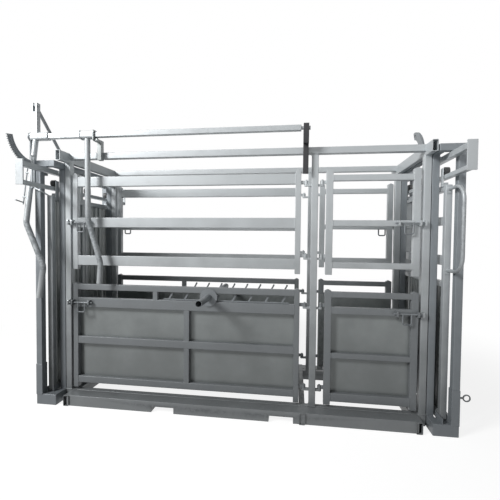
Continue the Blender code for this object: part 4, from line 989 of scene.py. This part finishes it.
hook_top = RACK_FOOT + TOOTH_HIGH
hook_centre = (TOOTH_LEAN + TOOTH_WIDE / 2 + 0.002, hook_top - 0.006)
root = RACK_FOOT - 0.002
tooth_outline = [(0, root), (TOOTH_WIDE, root), (TOOTH_WIDE + TOOTH_LEAN, root + TOOTH_HIGH - 0.010)]
tooth_outline += arc(hook_centre, HOOK_RADIUS, range(20, 201, 18))
rack_x = (FIRST_TOOTH - 0.04, FIRST_TOOTH + (TOOTH_COUNT - 1) * TOOTH_PITCH + 0.06)
for side_name, sign in SIDES.items():
    rack_mesh = bmesh.new()
    side_bar(rack_mesh, sign, *rack_x, RACK_OUT, RACK_IN, RACK_LOW, RACK_LOW + RACK_FOOT, 0.0015)
    tooth = bmesh.new()
    solid(tooth, tooth_outline, "y", *mirrored(sign, RACK_OUT, RACK_IN), edge=0.001)
    repeated(rack_mesh, tooth, dull_zinc, TOOTH_COUNT, (TOOTH_PITCH, 0, 0), x=FIRST_TOOTH, z=RACK_LOW)
    piece(f"rack_{side_name}", rack_mesh, f"gate_lower_left_{side_name}", dull_zinc)

rump_centre = (FIRST_TOOTH + 2.5 * TOOTH_PITCH + (TOOTH_WIDE + TOOTH_LEAN) / 2,
               RACK_LOW + RACK_FOOT + RUMP_BAR + GAP)
rump_mesh = bmesh.new()
solid(rump_mesh, round_outline(rump_centre, RUMP_BAR, 40), "y", *RUMP_BAR_ENDS,
      hole=round_outline(rump_centre, RUMP_BAR - 0.003, 40), edge=0)
solid(rump_mesh, round_outline(rump_centre, STOP_DISC, 48), "y", *STOP_DISC_Y,
      hole=round_outline(rump_centre, RUMP_BAR - 0.001, 48), edge=0)
piece("rump_bar", rump_mesh, "rump_bar", dull_zinc)

# The head gate's gear
# A square torque bar over the operator's side turns with a long lever and a second handle halfway down the
# crate. The lever works the near leaf by a pin on a slotted plate and the far leaf by a long link, and a
# sprung rod on the lever drops between the teeth of a quadrant on the outer post.
BAR_Y = -0.45
BAR_Z = 2.17
HUB = (BAR_Y, BAR_Z)
BAR_HALF = 0.020
BAR_ENDS = (-1.595, 0.500)
BAR_PIN = 0.012
PIN_BEARING = BAR_PIN + 0.00065
SLEEVE_HALF = 0.028
FLANGE_HALF = 0.033
FLANGE = 0.006
LEVER_X = -1.63
LEVER_LEAN = 9.0
LEVER_SWING = 48
LEVER_TUBE = 0.021
LEVER_SLEEVE = (-1.596, -1.514)
LEVER_HUB = (-1.6645, -1.595)
LEVER_GRIP = ((-1.475, -0.572, 1.13), (-1.510, -0.575, 0.885))
CLEVIS_IN = 0.0105
CLEVIS_OUT = 0.025
CLEVIS_FOOT = 2.360
CLEVIS_PIN = 0.0075
NUT = 0.008
HANDLE_X = -1.180
HANDLE_SLEEVE = (-1.234, -1.119)
HANDLE_BENDS = ((HANDLE_X, BAR_Y, 1.500), (-1.070, BAR_Y - 0.004, 1.155), (-1.082, BAR_Y - 0.004, 0.993))
LINK_X = (LEVER_X - 0.008, LEVER_X + 0.008)
LINK_TOP = (BAR_Y, 2.42)
LINK_LOW = (0.023, 1.92)
LINK_HALF = 0.012
DRIVE_ARM = 0.381
DRIVE_PIN = 0.010
DRIVE_PLATE = (-1.6041, -1.598)
ROD_X = -1.674
ROD_RADIUS = 0.005
ROD_TOP = 0.560
ROD_GUIDES_AT = (0.30, 0.50)
ROD_GUIDE = 0.0064


def lever_point(reach):
    """A point down the lever from the torque bar, as Y and Z."""
    lean = radians(LEVER_LEAN)
    return BAR_Y - reach * sin(lean), BAR_Z - reach * cos(lean)


def collar(half):
    """A square about the torque bar, with as many points as a round hole."""
    return around(HUB, BAR_Y - half, BAR_Y + half, BAR_Z - half, BAR_Z + half)


bar_mesh = bmesh.new()
bar_square = box_outline(BAR_Y - BAR_HALF, BAR_Y + BAR_HALF, BAR_Z - BAR_HALF, BAR_Z + BAR_HALF)
solid(bar_mesh, bar_square, "x", *BAR_ENDS, edge=0.003)
solid(bar_mesh, round_outline(HUB, BAR_PIN), "x", -1.684, BAR_ENDS[0] + 0.005, edge=0.0015)
solid(bar_mesh, round_outline(HUB, BAR_PIN), "x", BAR_ENDS[1] - 0.005, 0.566, edge=0.0015)
solid(bar_mesh, round_outline(HUB, 0.016, 6), "x", 0.566 - NUT, 0.566, edge=0.0015)
piece("torque_bar", bar_mesh, "lever", bright_zinc)

lever_mesh = bmesh.new()
solid(lever_mesh, collar(SLEEVE_HALF), "x", *LEVER_HUB, hole=round_outline(HUB, BAR_PIN + 0.0004), edge=0)
bar_hole = collar(BAR_HALF + GAP)
solid(lever_mesh, collar(SLEEVE_HALF), "x", *LEVER_SLEEVE, hole=bar_hole, edge=0)
arm_y = (BAR_Y - BAR_HALF, BAR_Y + BAR_HALF)
bar(lever_mesh, LEVER_X - CLEVIS_OUT, LEVER_X + CLEVIS_OUT, *arm_y, BAR_Z + 0.024, CLEVIS_FOOT + 0.008, 0.003)
for x0, x1 in ((-CLEVIS_OUT, -CLEVIS_IN), (CLEVIS_IN, CLEVIS_OUT)):
    bar(lever_mesh, LEVER_X + x0, LEVER_X + x1, *arm_y, CLEVIS_FOOT, LINK_TOP[1] + 0.020, 0.003)
solid(lever_mesh, round_outline(LINK_TOP, CLEVIS_PIN), "x", LEVER_X - 0.03, LEVER_X + 0.03, edge=0.001)
for x in (LEVER_X - CLEVIS_OUT - 0.007, LEVER_X + CLEVIS_OUT - 0.001):
    solid(lever_mesh, round_outline(LINK_TOP, 0.013, 6), "x", x, x + NUT, edge=0.0015)
lever_bends = [(LEVER_X, *lever_point(0.02)), (LEVER_X, *lever_point(0.71)), *LEVER_GRIP]
tube(lever_mesh, lever_bends, LEVER_TUBE, 0.10, bright_zinc, sides=20)
drive_pin = round_outline(lever_point(DRIVE_ARM), DRIVE_PIN)
solid(lever_mesh, drive_pin, "x", -1.612, DRIVE_PLATE[0] - GAP, edge=0.001)
for reach in ROD_GUIDES_AT:
    y, z = lever_point(reach)
    for y0, y1 in ((y - 0.012, y - 0.012 + ROD_GUIDE), (y + 0.012 - ROD_GUIDE, y + 0.012)):
        bar(lever_mesh, ROD_X - 0.0065, LEVER_X - 0.012, y0, y1, z - 0.006, z + 0.006, 0.001)
piece("head_lever", lever_mesh, "lever", bright_zinc)

handle_mesh = bmesh.new()
solid(handle_mesh, collar(SLEEVE_HALF), "x", *HANDLE_SLEEVE, hole=bar_hole, edge=0)
for x in (HANDLE_SLEEVE[0], HANDLE_SLEEVE[1] - FLANGE):
    solid(handle_mesh, collar(FLANGE_HALF), "x", x, x + FLANGE, hole=bar_hole, edge=0)
tube(handle_mesh, [(HANDLE_X, BAR_Y, BAR_Z - 0.022), *HANDLE_BENDS], LEVER_TUBE, 0.16, bright_zinc, sides=20)
piece("side_handle", handle_mesh, "lever", bright_zinc)

link_mesh = bmesh.new()
along = Vector((LINK_LOW[0] - LINK_TOP[0], LINK_LOW[1] - LINK_TOP[1])).normalized()
across = Vector((-along.y, along.x)) * LINK_HALF
top_in = Vector(LINK_TOP) + along * 0.013
low_in = Vector(LINK_LOW) - along * 0.015
link_outline = [tuple(p) for p in (top_in + across, low_in + across, low_in - across, top_in - across)]
solid(link_mesh, link_outline, "x", *LINK_X, edge=0.002)
for centre, outer, inner in ((LINK_TOP, 0.015, CLEVIS_PIN + 0.0006), (LINK_LOW, 0.018, DRIVE_PIN + 0.0007)):
    eye = round_outline(centre, outer)
    solid(link_mesh, eye, "x", *LINK_X, hole=round_outline(centre, inner), edge=0)
piece("far_link", link_mesh, "link", dull_zinc)

# The near leaf's slotted plate and bent rod, and the far leaf's post and pin
PLATE_Y = -0.519
PLATE_OUT = 0.016
PLATE_SLOT = 0.008
head_top = leaf_top(ENDS["head"][0])
near_mesh = leaf_meshes["head", "near"]
slot_low = lever_point(DRIVE_ARM)[1] - 0.03
slot_high = BAR_Z - DRIVE_ARM * cos(radians(LEVER_LEAN + LEVER_SWING)) + 0.03
for y0, y1, z0, z1 in (
    (-PLATE_OUT, PLATE_OUT, slot_low - 0.02, slot_low),
    (-PLATE_OUT, PLATE_OUT, slot_high, slot_high + 0.012),
    (-PLATE_OUT, -PLATE_SLOT, slot_low - 0.002, slot_high + 0.002),
    (PLATE_SLOT, PLATE_OUT, slot_low - 0.002, slot_high + 0.002),
):
    bar(near_mesh, *DRIVE_PLATE, PLATE_Y + y0, PLATE_Y + y1, z0, z1, 0.0012)
bent_rod = [(-1.601, PLATE_Y, slot_low - 0.012), (-TRACK_MID_X - 0.006, PLATE_Y, head_top + 0.022),
            (-TRACK_MID_X, -LEAF_OUTER + 0.015, head_top - 0.012)]
tube(near_mesh, bent_rod, 0.006, 0.02, dull_zinc, sides=12)
piece("head_leaf_near", near_mesh, "head_leaf_near", bright_zinc)

far_mesh = leaf_meshes["head", "far"]
post_y = (LEAF_MEET, LEAF_MEET + LEAF_STILE)
bar(far_mesh, -1.556 + PROUD, -1.531, post_y[0] + PROUD, post_y[1] - PROUD, head_top - 0.012, head_top + 0.02,
    0.002)
bar(far_mesh, -1.556, -1.550, *post_y, head_top - 0.012, LINK_LOW[1] + 0.018, 0.002)
solid(far_mesh, round_outline(LINK_LOW, DRIVE_PIN), "x", LINK_X[1] + GAP, -1.552, edge=0.001)
piece("head_leaf_far", far_mesh, "head_leaf_far", bright_zinc)

# The quadrant: a toothed band on a leg, and its foot on the outer post
QUADRANT = (-1.679, -1.669)
QUADRANT_LOW = 1.860
ARC_IN = 0.190
ARC_ROOT = 0.236
ARC_TIP = 0.245
ARC_START = 190
ARC_END = 276
ARC_STEP = 4
ARC_TEETH = 19
quadrant_mesh = bmesh.new()
band = arc(HUB, ARC_ROOT, range(ARC_START, ARC_END + 1, 2))
band += arc(HUB, ARC_IN, range(ARC_END, ARC_START - 1, -2))
solid(quadrant_mesh, band, "x", *QUADRANT, edge=0.001)
tooth = bmesh.new()
tooth_outline = arc((0, 0), ARC_ROOT - 0.002, (ARC_START,))
tooth_outline += arc((0, 0), ARC_TIP, (ARC_START, ARC_START + 1.6))
tooth_outline += arc((0, 0), ARC_ROOT - 0.002, (ARC_START + 1.7,))
solid(tooth, tooth_outline, "x", *QUADRANT, edge=0.0006)
repeated(quadrant_mesh, tooth, dull_zinc, ARC_TEETH, (0, 0, 0), turn=radians(ARC_STEP), y=BAR_Y, z=BAR_Z)
solid(quadrant_mesh, round_outline(HUB, 0.035), "x", *QUADRANT, hole=round_outline(HUB, PIN_BEARING), edge=0)
bar(quadrant_mesh, QUADRANT[0] + PROUD, QUADRANT[1] - PROUD, BAR_Y - 0.015, BAR_Y + 0.025, QUADRANT_LOW,
    BAR_Z - 0.022, 0.0015)
bar(quadrant_mesh, QUADRANT[0] + 2 * PROUD, -END_X + POST, -HALF + POST + GAP, -0.415,
    QUADRANT_LOW + PROUD, 1.950, 0.002)
piece("quadrant", quadrant_mesh, "frame", dull_zinc)

rod_mesh = bmesh.new()
peg_y, peg_z = lever_point(ROD_TOP - 0.015)
rod = [(ROD_X, *lever_point(ARC_TIP + 0.0008)), (ROD_X, *lever_point(ROD_TOP))]
peg = [(ROD_X, peg_y, peg_z), (ROD_X, peg_y - 0.080, peg_z + 0.0125)]
for path in (rod, peg):
    tube(rod_mesh, path, ROD_RADIUS, 0.0, dull_zinc, sides=12)
piece("ratchet_rod", rod_mesh, "ratchet", dull_zinc)

# The torque bar's two supports on the top rail
SUPPORT_Y = (-0.420, -SIDE_OUT - GAP)
SADDLE_X = -1.1165
SADDLE_WIDE = 0.034
SADDLE_TOP = BAR_Z - FLANGE_HALF
SADDLE_LOW = SADDLE_TOP - 0.020
saddle_mesh = bmesh.new()
bar(saddle_mesh, SADDLE_X, SADDLE_X + SADDLE_WIDE, *SUPPORT_Y, TOP - 0.070, SADDLE_TOP, 0.003)
bar(saddle_mesh, SADDLE_X + PROUD, SADDLE_X + SADDLE_WIDE - PROUD, BAR_Y - 0.020, SUPPORT_Y[0] + WELD_IN,
    SADDLE_LOW + PROUD, SADDLE_TOP - PROUD, 0.003)
yoke = around(HUB, BAR_Y - 0.034, BAR_Y + 0.034, SADDLE_LOW, BAR_Z + 0.034)
solid(saddle_mesh, yoke, "x", SADDLE_X, SADDLE_X + 0.006, hole=round_outline(HUB, 0.0297), edge=0)
piece("side_upright", saddle_mesh, "frame", sheet_zinc)

REAR_UPRIGHT_X = (0.516, 0.556)
REAR_UPRIGHT_TOP = 2.200
dark_steel = zinc("dark steel", (0.012, 0.012, 0.014), (0.04, 0.04, 0.043), rough=(0.42, 0.6), metallic=0.1)
upright_mesh = bmesh.new()
bar(upright_mesh, *REAR_UPRIGHT_X, *SUPPORT_Y, 1.850, REAR_UPRIGHT_TOP, 0.003)
cheek = around(HUB, -0.475, SUPPORT_Y[0] + 0.0045, 2.060, REAR_UPRIGHT_TOP - PROUD)
solid(upright_mesh, cheek, "x", REAR_UPRIGHT_X[0] + PROUD, REAR_UPRIGHT_X[1] - PROUD,
      hole=round_outline(HUB, PIN_BEARING), edge=0)
piece("rear_upright", upright_mesh, "frame", dark_steel)

# The lifting lug and the pull pins
# A curved horn with an eye stands on the rear cross beam, and a ringed pin locks each side of the rear gate.
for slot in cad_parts["lifting_lug"].material_slots:
    slot.material = dull_zinc

PIN_Y = 0.475
PIN_Z = 0.27
PIN_RADIUS = 0.007
PIN_FLANGE = 0.014
PIN_INNER_X = 1.560
PIN_OUTER_X = 1.684
PIN_RING = 0.022
RING_ROD = 0.005
for side_name, sign in SIDES.items():
    y = sign * PIN_Y
    ring_x = PIN_OUTER_X - PIN_RING - RING_ROD
    pin_mesh = bmesh.new()
    pin = round_outline((y, PIN_Z), PIN_RADIUS, 20)
    solid(pin_mesh, pin, "x", PIN_INNER_X, ring_x - PIN_RING + 0.003, edge=0.001)
    solid(pin_mesh, round_outline((y, PIN_Z), PIN_FLANGE), "x", END_X + GAP, END_X + 0.006, edge=0.001)
    ring = [(x, y, z) for x, z in arc((ring_x, PIN_Z), PIN_RING, range(0, 360, 15))]
    tube(pin_mesh, ring, RING_ROD, 0.0, bright_zinc, closed=True, sides=12)
    name = f"pull_pin_{side_name}"
    piece(name, pin_mesh, name, bright_zinc)

# The stage
# A pale floor that keeps the shadow under the crush and fades to the white background around it, soft light
# from the upper left in front, and the photograph's camera.
FLOOR_HALF = 30
FLOOR_Z = -0.002
FADE_FROM = 1.9
FADE_TO = 4.2
floor_mesh = bpy.data.meshes.new("floor")
corners = [(x, y, FLOOR_Z) for x, y in box_outline(-FLOOR_HALF, FLOOR_HALF, -FLOOR_HALF, FLOOR_HALF)]
floor_mesh.from_pydata(corners, [], [(0, 1, 2, 3)])
floor = bpy.data.objects.new("floor", floor_mesh)
bpy.context.scene.collection.objects.link(floor)
floor_paint = bpy.data.materials.new("pale floor")
floor_paint.use_nodes = True
floor_tree = floor_paint.node_tree
floor_shader = floor_tree.nodes["Principled BSDF"]
floor_shader.inputs["Base Color"].default_value = (0.26, 0.26, 0.26, 1)
floor_shader.inputs["Roughness"].default_value = 0.9
floor_shader.inputs["Specular IOR Level"].default_value = 0.0


def looked_at(tree):
    """1 where the camera, a reflection or a view through glass sees it, 0 where it only lights others."""
    paths = tree.nodes.new("ShaderNodeLightPath")
    first = node_of(tree, "ShaderNodeMath", operation="ADD", use_clamp=True)
    both = node_of(tree, "ShaderNodeMath", operation="ADD", use_clamp=True)
    tree.links.new(paths.outputs["Is Camera Ray"], first.inputs[0])
    tree.links.new(paths.outputs["Is Glossy Ray"], first.inputs[1])
    tree.links.new(first.outputs["Value"], both.inputs[0])
    tree.links.new(paths.outputs["Is Transmission Ray"], both.inputs[1])
    return both.outputs["Value"]


floor_link = floor_tree.links.new
floor_glow = node_of(floor_tree, "ShaderNodeEmission")
glow_level = node_of(floor_tree, "ShaderNodeMath", {1: 0.87}, operation="MULTIPLY")
lit_floor = node_of(floor_tree, "ShaderNodeAddShader")
far_floor = node_of(floor_tree, "ShaderNodeEmission")
place = node_of(floor_tree, "ShaderNodeTexCoord")
distance = node_of(floor_tree, "ShaderNodeVectorMath", operation="LENGTH")
fade = node_of(floor_tree, "ShaderNodeMapRange", {"From Min": FADE_FROM, "From Max": FADE_TO},
               interpolation_type="SMOOTHSTEP")
far_share = node_of(floor_tree, "ShaderNodeMath", operation="MULTIPLY")
floor_mix = node_of(floor_tree, "ShaderNodeMixShader")
seen_floor = looked_at(floor_tree)
floor_link(seen_floor, glow_level.inputs[0])
floor_link(glow_level.outputs["Value"], floor_glow.inputs["Strength"])
floor_link(floor_shader.outputs["BSDF"], lit_floor.inputs[0])
floor_link(floor_glow.outputs["Emission"], lit_floor.inputs[1])
floor_link(place.outputs["Object"], distance.inputs[0])
floor_link(distance.outputs["Value"], fade.inputs["Value"])
floor_link(fade.outputs["Result"], far_share.inputs[0])
floor_link(seen_floor, far_share.inputs[1])
floor_link(far_share.outputs["Value"], floor_mix.inputs["Fac"])
floor_link(lit_floor.outputs["Shader"], floor_mix.inputs[1])
floor_link(far_floor.outputs["Emission"], floor_mix.inputs[2])
floor_link(floor_mix.outputs["Shader"], floor_tree.nodes["Material Output"].inputs["Surface"])
floor_mesh.materials.append(floor_paint)


def lamp(name, place, aim, size, power):
    """A square area light that faces a point."""
    light = bpy.data.lights.new(name, "AREA")
    light.shape = "RECTANGLE"
    light.size = size
    light.size_y = size
    light.energy = power
    made = bpy.data.objects.new(name, light)
    made.location = place
    made.rotation_euler = (Vector(aim) - Vector(place)).to_track_quat("-Z", "Y").to_euler()
    bpy.context.scene.collection.objects.link(made)


MIDDLE = (0, 0, 1.0)
lamp("key", (-5.5, -5.2, 5.6), MIDDLE, 2.2, 650)
lamp("fill", (3.0, -7.0, 2.5), MIDDLE, 4.0, 20)

world = bpy.data.worlds.new("soft white")
bpy.context.scene.world = world
world.use_nodes = True
sky = world.node_tree
back = sky.nodes["Background"]
back.inputs["Strength"].default_value = 0.07
white = node_of(sky, "ShaderNodeBackground", {"Color": (1, 1, 1, 1), "Strength": 1.0})
choose = node_of(sky, "ShaderNodeMixShader")
sky.links.new(looked_at(sky), choose.inputs["Fac"])
sky.links.new(back.outputs["Background"], choose.inputs[1])
sky.links.new(white.outputs["Background"], choose.inputs[2])
sky.links.new(choose.outputs["Shader"], sky.nodes["World Output"].inputs["Surface"])

CAMERA_AT = (0.469, -2.967, 1.353)
CAMERA_YAW = radians(7.65)
CAMERA_PITCH = radians(-1.73)
CAMERA_ROLL = radians(-0.55)
FOCAL_PIXELS = 338.5
PHOTO_PIXELS = 500
SENSOR = 36
heading = Matrix.Rotation(CAMERA_YAW, 3, "Z") @ Matrix.Rotation(CAMERA_PITCH, 3, "X")
right, ahead, up = (heading @ Matrix.Rotation(CAMERA_ROLL, 3, "Y")).col
lens = bpy.data.cameras.new("camera")
lens.sensor_width = SENSOR
lens.lens = FOCAL_PIXELS / PHOTO_PIXELS * SENSOR
lens.clip_start = 0.05
camera = bpy.data.objects.new("camera", lens)
camera.matrix_world = Matrix.Translation(CAMERA_AT) @ Matrix((right, up, -ahead)).transposed().to_4x4()
bpy.context.scene.collection.objects.link(camera)
bpy.context.scene.camera = camera
bpy.context.scene.view_settings.view_transform = "Standard"
